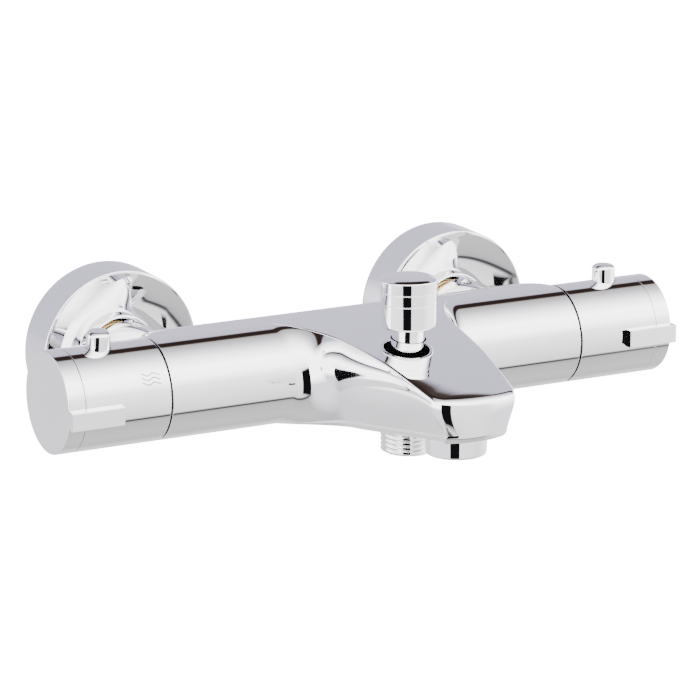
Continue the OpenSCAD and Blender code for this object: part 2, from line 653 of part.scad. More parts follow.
// ================= diverter =================
knob_taper = 0.04;             // narrowing of the knob's radius, for each millimetre down
knob_groove_drops = [6, 10.5];
knob_groove_depth = 0.25;
module diverter_knob() color(chrome) difference() {
    r = knob_d / 2;
    low_r = r - knob_taper * (knob_h - 2);
    turned_z(diverter_y, [[0, neck_end], [neck_r, neck_end], [neck_r, knob_z], [low_r - 2, knob_z],
        [low_r - 0.6, knob_z + 0.6], [low_r, knob_z + 2], [r, knob_top - 1.6],
        [r - 0.5, knob_top - 0.9], [r * 0.55, knob_top - 0.25], [0, knob_top]]);
    rod_z(diverter_y, neck_end - cut, knob_z + 8, stem_r);
    for (drop = knob_groove_drops)
        tube_z(diverter_y, knob_top - drop - 0.15, knob_top - drop + 0.15, r + 1,
            r - knob_taper * drop - knob_groove_depth);
}
module diverter_stem() color(raw_brass) difference() {
    union() {
        rod_z(diverter_y, valve_floor - 2, knob_z + 7.5, stem_r);
        rod_z(diverter_y, valve_floor - 2, valve_floor - 0.4, stem_r + 1.2);
    }
    tube_z(diverter_y, neck_end - 1.4, neck_end - 0.2, stem_r + 1, stem_r - 0.3);
}
module diverter_bush() color(raw_brass) difference() {
    rod_z(diverter_y, bush_floor, bush_top, neck_hole_r - run);
    rod_z(diverter_y, bush_floor - cut, bush_top + cut, stem_r + run);
    tube_z(diverter_y, bush_floor + 1.2, bush_floor + 2.9, stem_r + 1.3, stem_r - 1);
}
module diverter_o_ring() color(black_rubber)
    translate([0, diverter_y, bush_floor + 2.05]) o_ring(stem_r + 0.68, 0.58);
module diverter_valve_disc() color(raw_brass)
    tube_z(diverter_y, valve_floor + washer_t, valve_floor + washer_t + valve_t, valve_r, stem_r);
module diverter_washers() color(black_rubber) {
    tube_z(diverter_y, valve_floor, valve_floor + washer_t, valve_r, stem_r + 1.4);
    tube_z(diverter_y, valve_top - washer_t, valve_top, valve_r, stem_r + 1.9);
}
module diverter_spring() color(steel)
    translate([0, diverter_y, valve_top - washer_t + 0.5])
        spring(stem_r + 1.1, 0.4, bush_floor - valve_top + washer_t - 1, 6);

// ================= outlets =================
module hose_outlet() color(chrome) difference() {
    turned_z(diverter_y, [[0, nipple_top], [chamber_r - run, nipple_top], [chamber_r - run, nipple_seat],
        [hose_neck_r, nipple_seat], [hose_neck_r, hose_neck_end], [pipe_r, hose_neck_end],
        [pipe_r, hose_end + hose_chamfer], [pipe_r - hose_chamfer, hose_end], [0, hose_end]]);
    rod_z(diverter_y, hose_end - cut, nipple_top - 3, hose_bore_r);
    rod_z(diverter_y, nipple_top - 3.1, nipple_top + cut, stem_r + 2.4);
    tube_z(diverter_y, nipple_seat + 0.9, nipple_seat + 2.6, chamber_r + 1, chamber_r - 1.4);
}
module hose_outlet_o_ring() color(black_rubber)
    translate([0, diverter_y, nipple_seat + 1.75]) o_ring(chamber_r - 0.7, 0.6);
aerator_floor = -aerator_drop;
aerator_in_r = 8.6;
module aerator_housing() color(chrome) difference() {
    turned_z(aerator_y, [[0, aerator_thread_top - 0.4], [aerator_thread_r, aerator_thread_top - 0.4],
        [aerator_thread_r, aerator_seat], [aerator_r, aerator_seat], [aerator_r - 0.2, aerator_floor + 0.8],
        [aerator_r - 0.9, aerator_floor], [0, aerator_floor]]);
    rod_z(aerator_y, aerator_floor + 1.6, aerator_thread_top, aerator_in_r);
    rod_z(aerator_y, aerator_floor - cut, aerator_floor + 1.7, aerator_in_r - 0.8);
}
module aerator_screen() color(steel) difference() {
    rod_z(aerator_y, aerator_floor + 1.7, aerator_floor + 2.3, aerator_in_r - gap);
    for (x = [-2:2]) for (y = [-2:2]) if (x * x + y * y < 8)
        translate([2.8 * x, 2.8 * y, 0]) rod_z(aerator_y, aerator_floor + 1, aerator_floor + 3, 0.9);
}
module aerator_insert() color(white_plastic) difference() {
    rod_z(aerator_y, aerator_floor + 2.5, aerator_thread_top - 2, aerator_in_r - gap);
    rod_z(aerator_y, aerator_floor + 5, aerator_thread_top, aerator_in_r - 1.2);
    for (turn = [0:30:330]) translate([0, aerator_y, 0]) rotate([0, 0, turn]) translate([5.4, 0, 0])
        cylinder(r = 0.9, h = 40, center = true, $fn = 16);
}
module aerator_washer() color(black_rubber)
    tube_z(aerator_y, aerator_thread_top - 1.9, aerator_thread_top - 0.5, aerator_in_r - gap, 6.2);

mixer_body();
wall_flange(-1);  // wall_flange_left
wall_flange(1);  // wall_flange_right
eccentric_union(-1);  // eccentric_union_left
eccentric_union(1);  // eccentric_union_right
union_nut(-1);  // union_nut_left
union_nut(1);  // union_nut_right
inlet_tail(-1);  // inlet_tail_left
inlet_tail(1);  // inlet_tail_right
inlet_washers();
inlet_filter(-1);  // inlet_filter_left
inlet_filter(1);  // inlet_filter_right
check_valve(-1);  // check_valve_left
check_valve(1);  // check_valve_right
check_poppet(-1);  // check_poppet_left
check_poppet(1);  // check_poppet_right
check_springs();
flow_cartridge_body();
flow_fixed_disc();
flow_moving_disc();
flow_spindle();
flow_seat_seal();
flow_stop_ring();
flow_o_rings();
handle_sleeve(-1);  // flow_handle
end_cap(-1);  // flow_end_cap
lever(-1);  // flow_lever
handle_hub(-1);  // flow_handle_hub
handle_screw(-1);  // flow_handle_screw
push_button(-1, chrome);  // eco_button
button_spring(-1);  // eco_button_spring
thermostat_housing();
thermostat_retaining_nut();
thermostat_spindle();
wax_element();
regulating_piston();
piston_spring();
temperature_stop_ring();
thermostat_o_rings();
handle_sleeve(1);  // temperature_handle
end_cap(1);  // temperature_end_cap
lever(1);  // temperature_lever
handle_hub(1);  // temperature_handle_hub
handle_screw(1);  // temperature_handle_screw
push_button(1, chrome);  // safety_button
button_spring(1);  // safety_button_spring
diverter_knob();
diverter_stem();
diverter_bush();
diverter_valve_disc();
diverter_washers();
diverter_spring();
diverter_o_ring();
hose_outlet();
hose_outlet_o_ring();
aerator_housing();
aerator_insert();
aerator_screen();
aerator_washer();
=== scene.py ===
import json
import bmesh
import bpy
import numpy as np
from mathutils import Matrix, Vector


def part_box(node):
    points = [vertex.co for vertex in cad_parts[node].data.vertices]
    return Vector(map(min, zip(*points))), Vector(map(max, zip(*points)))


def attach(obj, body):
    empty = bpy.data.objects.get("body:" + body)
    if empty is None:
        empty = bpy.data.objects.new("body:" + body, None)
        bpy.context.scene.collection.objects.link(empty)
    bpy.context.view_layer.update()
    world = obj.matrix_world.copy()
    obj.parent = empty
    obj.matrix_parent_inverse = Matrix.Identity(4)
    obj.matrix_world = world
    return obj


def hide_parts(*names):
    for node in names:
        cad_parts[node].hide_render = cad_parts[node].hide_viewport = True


# Wall mounted thermostatic bath faucet.  Shapes are worked out in millimetres and
# scaled to metres when a mesh is made.  +X along the bar, +Y into the wall, +Z up.

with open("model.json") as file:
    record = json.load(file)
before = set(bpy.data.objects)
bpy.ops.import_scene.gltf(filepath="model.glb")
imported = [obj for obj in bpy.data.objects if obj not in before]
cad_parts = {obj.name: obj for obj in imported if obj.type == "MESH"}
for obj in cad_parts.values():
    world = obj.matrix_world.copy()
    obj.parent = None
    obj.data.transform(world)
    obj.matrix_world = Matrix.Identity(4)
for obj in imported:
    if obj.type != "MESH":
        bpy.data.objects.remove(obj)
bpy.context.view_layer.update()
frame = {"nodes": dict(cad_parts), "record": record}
metresPerMm = 0.001


def cadRange(node):
    low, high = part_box(node)
    return np.array(low) / metresPerMm, np.array(high) / metresPerMm


# Places from the frame.
capLow, capHigh = cadRange("temperature_end_cap")
bodyLow, bodyHigh = cadRange("mixer_body")
barRadius = (capHigh[2] - capLow[2]) / 2
axisY = capHigh[1] - barRadius
bodyEnd = bodyHigh[0]
spoutReach = axisY - bodyLow[1]
knobLow, knobHigh = cadRange("diverter_knob")
knobY = (knobLow[1] + knobHigh[1]) / 2
ringLow, ringHigh = cadRange("aerator_housing")
ringY = (ringLow[1] + ringHigh[1]) / 2
hoseLow, hoseHigh = cadRange("hose_outlet")
inletX = cadRange("wall_flange_right")[0][0] / 2 + cadRange("wall_flange_right")[1][0] / 2


# Mesh tools.
class Shell:
    # collects grids of points, and the corner numbers of their cells
    def __init__(self):
        self.points, self.quads, self.count = [], [], 0

    def add(self, grid, quads=None):
        grid = np.asarray(grid, float)
        if quads is None:
            quads = gridQuads(*grid.shape[:2])
        flat = grid.reshape(-1, 3)
        self.points.append(flat)
        self.quads.append(quads + self.count)
        self.count += len(flat)
        return self


def gridQuads(rows, cols):
    # corner numbers of every cell of a rows x cols grid
    i, j = np.meshgrid(np.arange(rows - 1), np.arange(cols - 1), indexing="ij")
    a = (i * cols + j).ravel()
    return np.stack([a, a + 1, a + cols + 1, a + cols], 1)


def makePiece(name, shell, body, material, replaced=(), sharpAngle=32, weldMm=0.0008):
    points = np.concatenate(shell.points) * metresPerMm
    quads = np.concatenate(shell.quads)
    mesh = bpy.data.meshes.new(name)
    mesh.vertices.add(len(points))
    mesh.vertices.foreach_set("co", points.astype(np.float32).ravel())
    mesh.loops.add(quads.size)
    mesh.loops.foreach_set("vertex_index", quads.astype(np.int32).ravel())
    mesh.polygons.add(len(quads))
    mesh.polygons.foreach_set("loop_start", np.arange(0, quads.size, 4, dtype=np.int32))
    mesh.update(calc_edges=True)
    work = bmesh.new()
    work.from_mesh(mesh)
    bmesh.ops.remove_doubles(work, verts=work.verts, dist=weldMm * metresPerMm)
    bmesh.ops.dissolve_degenerate(work, edges=work.edges, dist=weldMm * metresPerMm * 0.5)
    bmesh.ops.recalc_face_normals(work, faces=work.faces)
    work.to_mesh(mesh)
    work.free()
    mesh.polygons.foreach_set("use_smooth", np.ones(len(mesh.polygons), bool))
    mesh.set_sharp_from_angle(angle=np.radians(sharpAngle))
    mesh.materials.append(material)
    piece = bpy.data.objects.new(name, mesh)
    bpy.context.scene.collection.objects.link(piece)
    weighted = piece.modifiers.new("weighted", "WEIGHTED_NORMAL")
    weighted.keep_sharp = True
    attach(piece, body)
    if replaced:
        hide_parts(*replaced)
    return piece


def roundedLine(corners, radii, steps=6):
    # a polyline whose corners are replaced by arcs: each arc touches both neighbours of its corner
    corners = np.asarray(corners, float)
    line = [corners[:1]]
    for k in range(1, len(corners) - 1):
        here, radius = corners[k], radii[k]
        back, ahead = corners[k - 1] - here, corners[k + 1] - here
        backLength, aheadLength = np.linalg.norm(back), np.linalg.norm(ahead)
        back, ahead = back / backLength, ahead / aheadLength
        half = np.arccos(np.clip(back @ ahead, -1, 1)) / 2
        if radius <= 0 or half > np.pi / 2 - 0.01:
            line.append(here[None])
            continue
        reach = min(radius / np.tan(half), 0.48 * backLength, 0.48 * aheadLength)
        radius = reach * np.tan(half)
        middle = here + (back + ahead) / np.linalg.norm(back + ahead) * radius / np.sin(half)
        start, end = here + back * reach - middle, here + ahead * reach - middle
        share = np.linspace(0, 1, steps + 1)[:, None]
        turn = np.pi - 2 * half
        arc = (np.sin((1 - share) * turn) * start + np.sin(share * turn) * end) / np.sin(turn)
        line.append(middle + arc)
    line.append(corners[-1:])
    return np.concatenate(line)


def rowsBetween(start, end, steps):
    # rows of points from one ring to another, or to a point: start + share * (end - start)
    return start[None] + np.linspace(0, 1, steps)[:, None, None] * (end - start)[None]


def columnsBetween(start, end, steps):
    # the same with the rings as columns
    return start + np.linspace(0, 1, steps)[None, :, None] * (end - start)


def turned(profile, origin, axis, sides=128):
    # profile rows are (radius, distance along the axis); point = origin + distance*axis + radius*spoke
    axes = {"x": ([0, 1, 0], [0, 0, 1], [1, 0, 0]), "y": ([1, 0, 0], [0, 0, 1], [0, 1, 0]),
            "z": ([1, 0, 0], [0, 1, 0], [0, 0, 1])}
    right, up, along = (np.array(v, float) for v in axes[axis])
    theta = np.linspace(0, 2 * np.pi, sides + 1)[:, None, None]
    radius, distance = profile[None, :, :1], profile[None, :, 1:]
    spoke = np.cos(theta) * right + np.sin(theta) * up
    return np.array(origin, float) + radius * spoke + distance * along


def holedGrid(shell, flat, lift, block, centre, radius, rings=6):
    # flat is a grid of 2-D points; inside the block of cells the grid gives way to rings that
    # shrink from the block's edge onto a circle: point = edge + share * (circle - edge)
    rows, cols = flat.shape[:2]
    top, bottom, left, right = block
    quads = gridQuads(rows, cols)
    i, j = quads[:, 0] // cols, quads[:, 0] % cols
    inside = (i >= top) & (i < bottom) & (j >= left) & (j < right)
    shell.add(lift(flat), quads[~inside])
    edge = np.concatenate([flat[top, left:right], flat[top:bottom, right],
                           flat[bottom, right:left:-1], flat[bottom:top:-1, left], flat[top:top + 1, left]])
    spoke = edge - centre
    circle = centre + radius * spoke / np.linalg.norm(spoke, axis=1, keepdims=True)
    share = np.linspace(0, 1, rings + 1)[:, None, None]
    shell.add(lift(edge[None] + share * (circle - edge)[None]))
    return circle


# Materials.
def newMaterial(name):
    material = bpy.data.materials.new(name)
    material.use_nodes = True
    nodes, links = material.node_tree.nodes, material.node_tree.links
    shader = nodes["Principled BSDF"]
    place = nodes.new("ShaderNodeTexCoord")
    return material, nodes, links, shader, place.outputs["Object"]


def noiseOf(nodes, links, place, scale, detail=3.0, rough=0.5, stretch=None):
    noise = nodes.new("ShaderNodeTexNoise")
    noise.inputs["Scale"].default_value = scale
    noise.inputs["Detail"].default_value = detail
    noise.inputs["Roughness"].default_value = rough
    if stretch is not None:
        mapping = nodes.new("ShaderNodeMapping")
        mapping.inputs["Scale"].default_value = stretch
        links.new(place, mapping.inputs["Vector"])
        place = mapping.outputs["Vector"]
    links.new(place, noise.inputs["Vector"])
    return noise.outputs["Fac"]


def rampOf(nodes, links, value, stops):
    ramp = nodes.new("ShaderNodeValToRGB")
    elements = ramp.color_ramp.elements
    while len(elements) < len(stops):
        elements.new(0.5)
    for element, (position, color) in zip(elements, stops):
        element.position = position
        element.color = (*color, 1)
    links.new(value, ramp.inputs["Fac"])
    return ramp.outputs["Color"]


def rangeOf(nodes, links, value, low, high, fromLow=0.3, fromHigh=0.7):
    mapped = nodes.new("ShaderNodeMapRange")
    mapped.inputs["From Min"].default_value = fromLow
    mapped.inputs["From Max"].default_value = fromHigh
    mapped.inputs["To Min"].default_value = low
    mapped.inputs["To Max"].default_value = high
    links.new(value, mapped.inputs["Value"])
    return mapped.outputs["Result"]


def bumpOf(nodes, links, shader, height, strength, distanceMm):
    bump = nodes.new("ShaderNodeBump")
    bump.inputs["Strength"].default_value = strength
    bump.inputs["Distance"].default_value = distanceMm * metresPerMm
    links.new(height, bump.inputs["Height"])
    links.new(bump.outputs["Normal"], shader.inputs["Normal"])


def surfaceMaterial(name, dark, light, metallic, roughLow, roughHigh, grain, bumpMm=0.0, stretch=None,
                    specular=0.5, coat=0.0):
    # colour and roughness drift between two values with a soft noise, and a finer noise gives the bump
    material, nodes, links, shader, place = newMaterial(name)
    shader.inputs["Metallic"].default_value = metallic
    shader.inputs["Specular IOR Level"].default_value = specular
    shader.inputs["Coat Weight"].default_value = coat
    drift = noiseOf(nodes, links, place, grain, stretch=stretch)
    links.new(rampOf(nodes, links, drift, [(0.3, dark), (0.7, light)]), shader.inputs["Base Color"])
    links.new(rangeOf(nodes, links, noiseOf(nodes, links, place, grain * 3, stretch=stretch),
                      roughLow, roughHigh), shader.inputs["Roughness"])
    if bumpMm:
        bumpOf(nodes, links, shader, noiseOf(nodes, links, place, grain * 8, 4, 0.6, stretch), 0.5, bumpMm)
    return material


chrome = surfaceMaterial("chromePlate", (0.90, 0.895, 0.91), (0.93, 0.925, 0.935), 1.0, 0.015, 0.05, 45)
rawBrass = surfaceMaterial("turnedBrass", (0.62, 0.43, 0.16), (0.78, 0.58, 0.27), 1.0, 0.22, 0.36, 60,
                           bumpMm=0.01, stretch=(1, 6, 1))
# near-black and without shine: painted shade for the recess under the diverter knob
paintedRecessShade = surfaceMaterial("paintedRecessShade", (0.002, 0.002, 0.002), (0.003, 0.003, 0.003), 0.0, 0.6, 0.7, 120,
                           specular=0.0)
blackRubber = surfaceMaterial("blackRubber", (0.012, 0.012, 0.012), (0.03, 0.03, 0.03), 0.0, 0.6, 0.8, 120,
                              bumpMm=0.02)
whitePlastic = surfaceMaterial("whiteAcetal", (0.78, 0.78, 0.74), (0.86, 0.86, 0.83), 0.0, 0.32, 0.45, 70,
                               bumpMm=0.01)
greyPlastic = surfaceMaterial("greyPlastic", (0.07, 0.073, 0.08), (0.11, 0.113, 0.12), 0.0, 0.4, 0.6, 90,
                              bumpMm=0.02)
bluePlastic = surfaceMaterial("bluePlastic", (0.02, 0.07, 0.26), (0.03, 0.10, 0.34), 0.0, 0.35, 0.5, 90,
                              bumpMm=0.01)
whiteCeramic = surfaceMaterial("lappedCeramic", (0.82, 0.82, 0.79), (0.88, 0.88, 0.86), 0.0, 0.12, 0.2, 90,
                               coat=0.3)
steel = surfaceMaterial("stainlessSteel", (0.50, 0.51, 0.52), (0.62, 0.62, 0.63), 1.0, 0.22, 0.34, 90,
                        bumpMm=0.008)
copper = surfaceMaterial("drawnCopper", (0.62, 0.28, 0.15), (0.76, 0.38, 0.22), 1.0, 0.25, 0.4, 70,
                         bumpMm=0.01)
etched = surfaceMaterial("etchedMark", (0.30, 0.27, 0.23), (0.36, 0.33, 0.29), 0.6, 0.45, 0.6, 400)
slotMaterials = {"chrome": chrome, "raw_brass": rawBrass, "black_rubber": blackRubber,
                 "white_plastic": whitePlastic, "grey_plastic": greyPlastic, "blue_plastic": bluePlastic,
                 "white_ceramic": whiteCeramic, "steel": steel, "copper": copper}
for part in frame["record"]["subparts"]:
    holder = frame["nodes"][part["node"]]
    holder.data.materials.clear()
    holder.data.materials.append(slotMaterials[part["material_slot"]])
print("materials made")

# Mixer body.
casting = {
    "blendOut": 11.5,          # blend of the spout's sides into the bar: reach along the bar
    "blendEnd": 33.0,          # and its end, forward of the bar's axis
    "rootHalfWidth": 29.4,     # half width of the spout at the bar's axis
    "taper": 0.14,             # narrowing of each side per millimetre forward
    "topRadius": 345.0,        # long curve of the top face
    "crown": 1.4,              # fall of the top face from its middle to its edges, near the nose
    "crownStart": 56.0,        # where the crown comes in, and over what length
    "crownLength": 27.0,
    "tipFall": 0.28,           # fall of the top face at the tip, and where it starts
    "tipStart": 87.5,
    "underSlope": 0.11,        # rise of the underside
    "underEase": 6.0,          # length over which the underside leaves the bar
    "noseCorner": 6.5,         # plan radius of the nose's corners
    "noseArc": 30.0,           # plan radius of the nose's front
    "sideBulge": 3.2,          # swelling of the sides between their edges, near the bar
    "noseBulge": 0.9,          # and at the nose
    "sideTuck": 2.6,           # drawing in of the sides towards the underside
    "noseTuck": 5.2,           # at the nose
    "frontTuck": 0.6,          # and at its front
    "tuckPower": 1.6,          # how late the drawing in begins
    "lowerEdge": (2.6, 3.0),   # reach and height of the lower edge
    "frontLower": (2.6, 3.2),  # and at the front
    "creaseEdge": (0.8, 0.7),  # reach and height of the upper edge along the sides
    "frontCrease": (2.4, 2.0),  # and at the front
    "creaseGrows": 10.6,       # length of the side over which the upper edge begins to grow
    "housingDepth": 25.0,      # rear housing, from the bar's axis
    "housingEdge": 16.5,       # radius of its edges
    "housingStep": 0.7,        # the housing stops short of the end faces
    "housingEnd": 10.9,        # length of the housing's rounded ends
    "endRound": 0.3,           # round of the end faces' edges
    "neckHole": 6.8,           # radii of the holes for the knob's neck and the hose outlet
    "hoseHole": 9.2,
    "neckHoleDepth": 11.0,     # below the bar's top line
    "holeMargin": 4.5,         # width of the rings round a hole
}


def smooth(t):
    t = np.clip(t, 0, 1)
    return t * t * (3 - 2 * t)


def sideHalf(d):
    return casting["rootHalfWidth"] - casting["taper"] * d


def spoutTop(x, d):
    # an arc of topRadius whose highest point is the bar's top line, less a crown that
    # comes in towards the nose and grows with (x / half width) squared, and a small fall at the tip
    crown = casting["crown"] * smooth((d - casting["crownStart"]) / casting["crownLength"])
    arc = barRadius - casting["topRadius"] + np.sqrt(casting["topRadius"] ** 2 - d ** 2)
    pastTip = np.maximum(d - casting["tipStart"], 0) / (spoutReach - casting["tipStart"])
    return arc - crown * (x / sideHalf(d)) ** 2 - casting["tipFall"] * pastTip ** 2


def spoutUnder(x, d):
    # leaves the bar's bottom line smoothly and then rises at underSlope
    ease = casting["underEase"]
    return -barRadius + casting["underSlope"] * (np.sqrt(d ** 2 + ease ** 2) - ease) + 0 * x


def nosePlan():
    # the corner circle touches the tapered side and lies inside the front circle
    corner, arc, taper = casting["noseCorner"], casting["noseArc"], casting["taper"]
    slant = np.sqrt(1 + taper ** 2)
    middleD = spoutReach - corner
    for _ in range(40):
        middleX = casting["rootHalfWidth"] - corner * slant - taper * middleD
        middleD = spoutReach - arc + np.sqrt((arc - corner) ** 2 - middleX ** 2)
    return middleX, middleD, np.arctan(taper), np.arccos(middleX / (arc - corner))


cornerX, cornerD, sideTurn, frontTurn = nosePlan()
sideEndD = cornerD + casting["noseCorner"] * np.sin(sideTurn)

# Columns run from the right end of the bar round the nose to the left end.  Each is a kind and a share.
housingStart = bodyEnd - casting["housingStep"] - casting["housingEnd"]
bend = np.linspace(0, np.pi / 2, 25)
endTurn = np.linspace(np.pi / 2, 0, 6)
barXs = np.concatenate([bodyEnd - casting["endRound"] * (1 - np.sin(endTurn)),
                        housingStart + casting["housingEnd"] * np.sin(bend[::-1])])
barTrim = np.concatenate([casting["endRound"] * (1 - np.cos(endTurn)), np.zeros(len(bend))])
barShare = np.linspace(0, 1, 31)[1:]
columnCounts = {"end": len(barXs), "bar": len(barShare), "blend": 30, "side": 60, "corner": 24, "front": 14}
blends = np.linspace(0, np.pi / 2, columnCounts["blend"] + 1)[1:]
sides = np.linspace(0, 1, columnCounts["side"] + 1)[1:]
corners = sideTurn + (frontTurn - sideTurn) * np.linspace(0, 1, columnCounts["corner"] + 1)[1:]
fronts = frontTurn + (np.pi / 2 - frontTurn) * np.linspace(0, 1, columnCounts["front"] + 1)[1:]
kinds = np.concatenate([np.full(n, k) for k, n in enumerate(columnCounts.values())])
values = np.concatenate([barXs, barShare, blends, sides, corners, fronts])
trims = np.concatenate([barTrim, np.zeros(len(kinds) - len(barTrim))])


def bodyPlan(z):
    # Plan position (x, d) and outward plan normal of every column at heights z (rows x columns).
    # Bar: d = sqrt(R^2 - z^2).  Blend: a quarter ellipse that touches bar and side.
    # Side: x = sideHalf(d).  Nose: the corner circle and then the front circle.
    v = np.broadcast_to(values, z.shape)
    kind = np.broadcast_to(kinds, z.shape)
    front = np.sqrt(np.maximum((barRadius - trims) ** 2 - z ** 2, 0))
    out, end = casting["blendOut"], casting["blendEnd"]
    x, d = v.copy(), front.copy()
    nx, nd = np.zeros(z.shape), np.ones(z.shape)
    on = kind == 1
    x[on] = (housingStart + v * (sideHalf(front) + out - housingStart))[on]
    on = kind == 2
    turn = np.where(on, v, 0)
    d[on] = (front + (end - front) * (1 - np.cos(turn)))[on]
    x[on] = (sideHalf(d) + out * (1 - np.sin(turn)))[on]
    alongX = (end - front) * np.sin(turn)
    alongD = out * np.cos(turn) + casting["taper"] * (end - front) * np.sin(turn)
    length = np.hypot(alongX, alongD) + 1e-9
    nx[on], nd[on] = (alongX / length)[on], (alongD / length)[on]
    on = kind == 3
    d[on] = (end + v * (sideEndD - end))[on]
    x[on] = sideHalf(d)[on]
    nx[on], nd[on] = np.cos(sideTurn), np.sin(sideTurn)
    on = kind == 4
    x[on] = (cornerX + casting["noseCorner"] * np.cos(v))[on]
    d[on] = (cornerD + casting["noseCorner"] * np.sin(v))[on]
    nx[on], nd[on] = np.cos(v)[on], np.sin(v)[on]
    on = kind == 5
    x[on] = (casting["noseArc"] * np.cos(v))[on]
    d[on] = (spoutReach - casting["noseArc"] + casting["noseArc"] * np.sin(v))[on]
    nx[on], nd[on] = np.cos(v)[on], np.sin(v)[on]
    return x, d, nx, nd


# How far along each column is: leaving the bar, nearing the nose, turning to the front.
leave = smooth(np.where(kinds == 2, values / (np.pi / 2), np.where(kinds > 2, 1.0, 0.0)))
near = np.where(kinds == 3, smooth(values), np.where(kinds > 3, 1.0, 0.0))
pastSide = casting["noseCorner"] * (values - sideTurn)
pastCorner = casting["noseCorner"] * (frontTurn - sideTurn) + casting["noseArc"] * (values - frontTurn)
toSideEnd = (values - 1) * (sideEndD - casting["blendEnd"])
farBack = -100.0
alongNose = np.select([kinds == 3, kinds == 4, kinds == 5], [toSideEnd, pastSide, pastCorner], farBack)
alongNose = alongNose + casting["creaseGrows"]
grow = smooth(alongNose / alongNose.max())
facing = np.where(kinds > 3, smooth((values - sideTurn) / (np.pi / 2 - sideTurn)), 0.0)
bulge = leave * (casting["sideBulge"] + near * (casting["noseBulge"] - casting["sideBulge"])) * (1 - facing)
tuck = leave * (casting["sideTuck"] + near * (casting["noseTuck"] - casting["sideTuck"])
                + facing * (casting["frontTuck"] - casting["noseTuck"]))
upperIn, upperDrop = (leave * (early + grow * (late - early))
                      for early, late in zip(casting["creaseEdge"], casting["frontCrease"]))
lowerIn, lowerRise = (leave * (early + facing * (late - early))
                      for early, late in zip(casting["lowerEdge"], casting["frontLower"]))


def limitHeight(surface, start):
    # where each column meets the top face or the underside: z = surface(d(z)), by repeated substitution
    z = np.full((1, len(kinds)), float(start))
    for _ in range(80):
        z = np.where(kinds < 2, np.sign(start) * (barRadius - trims), surface(*bodyPlan(z)[:2]))
    return z


upperZ = limitHeight(spoutTop, barRadius * 0.9)
lowerZ = limitHeight(spoutUnder, -barRadius * 0.9)
quarter = np.linspace(0, np.pi / 2, 10)[:, None]
wallShare = (0.5 - 0.5 * np.cos(np.pi * np.linspace(0, 1, 45)))[:, None]
wallLow, wallHigh = lowerZ + lowerRise, upperZ - upperDrop
wallZ = wallLow + wallShare * (wallHigh - wallLow)
planX, planD, normalX, normalD = bodyPlan(wallZ)
height = 2 * wallShare - 1
swellOut = bulge * (1 - height ** 2) - tuck * ((1 - height) / 2) ** casting["tuckPower"]
wallX, wallD = planX + swellOut * normalX, planD + swellOut * normalD


def edgeRows(row, inward, drop, surface, side):
    # Rows that carry a wall's end over onto a face: t runs from 0 to a quarter turn,
    # the step inwards is inward * (1 - cos t), and the gap to the face is drop * (1 - sin t).
    step = inward * (1 - np.cos(quarter))
    x, d = wallX[row] - step * normalX[row], wallD[row] - step * normalD[row]
    face = np.where(kinds < 2, side * (barRadius - trims), surface(x, d))
    return np.stack([x, axisY - d, face - side * drop * (1 - np.sin(quarter))], 2)


upperRows = edgeRows(-1, upperIn, upperDrop, spoutTop, 1)
lowerRows = edgeRows(0, lowerIn, lowerRise, spoutUnder, -1)
wallRows = np.stack([wallX, axisY - wallD, wallZ], 2)
rightHalf = np.concatenate([lowerRows[::-1], wallRows[1:-1], upperRows])


def mirrored(half):
    # the right half's columns followed by their mirror images
    return np.concatenate([half, half[:, -2::-1] * [-1, 1, 1]], 1)


bodyShell = Shell()
bodyShell.add(mirrored(rightHalf))

# Rear half: a box with round edges that becomes the bar's half circle at its ends.
acrossSteps = 56
rootX = rightHalf[-1, kinds < 2][-1, 0]
rearX = np.concatenate([rightHalf[-1, kinds < 2, 0], rootX * np.linspace(1, 0, acrossSteps // 2 + 1)[1:]])
rearR = np.concatenate([(barRadius - trims)[kinds < 2], np.full(acrossSteps // 2, barRadius)])
swell = np.where(np.abs(rearX) <= housingStart, 1.0,
                 np.sqrt(np.clip(1 - ((np.abs(rearX) - housingStart) / casting["housingEnd"]) ** 2, 0, 1)))


def rearSection(share, radius, swell):
    # Walks the section from its top line to its bottom line: flat, edge, back, edge, flat.
    # Depth and edge radius grow with swell from the bar's own radius.
    depth = radius + swell * (casting["housingDepth"] - barRadius)
    edge = radius + swell * (casting["housingEdge"] - barRadius)
    flat, arc, back = depth - edge, edge * np.pi / 2, 2 * (radius - edge)
    s = share * (2 * flat + 2 * arc + back)
    y = np.clip(s, 0, flat)
    first = np.clip(s - flat, 0, arc) / edge
    drop = np.clip(s - flat - arc, 0, back)
    second = np.clip(s - flat - arc - back, 0, arc) / edge
    y = y + edge * np.sin(first) - edge * (1 - np.cos(second)) - np.clip(s - flat - 2 * arc - back, 0, flat)
    z = radius - edge * (1 - np.cos(first)) - drop - edge * np.sin(second)
    return y, z


rearY, rearZ = rearSection(np.linspace(0, 1, 97)[:, None], rearR[None], swell[None])
rearHalf = np.stack([np.broadcast_to(rearX, rearY.shape), axisY + rearY, rearZ], 2)
bodyShell.add(mirrored(rearHalf))

# End faces.
toAxis = np.linspace(1, 0, 6)[:, None, None]
for side in (1, -1):
    for rim in (rightHalf[:, 0], rearHalf[:, 0]):
        ring = rim * [side, 1, 1]
        hub = np.array([side * bodyEnd, axisY, 0.0])
        bodyShell.add(hub + toAxis * (ring - hub)[None])

# Top face and underside: straight lines across the spout between the two edges.
spoutColumns = kinds >= 2
firstColumn = np.argmax(spoutColumns) - 1
across = np.linspace(1, -1, acrossSteps + 1)[None, :, None]


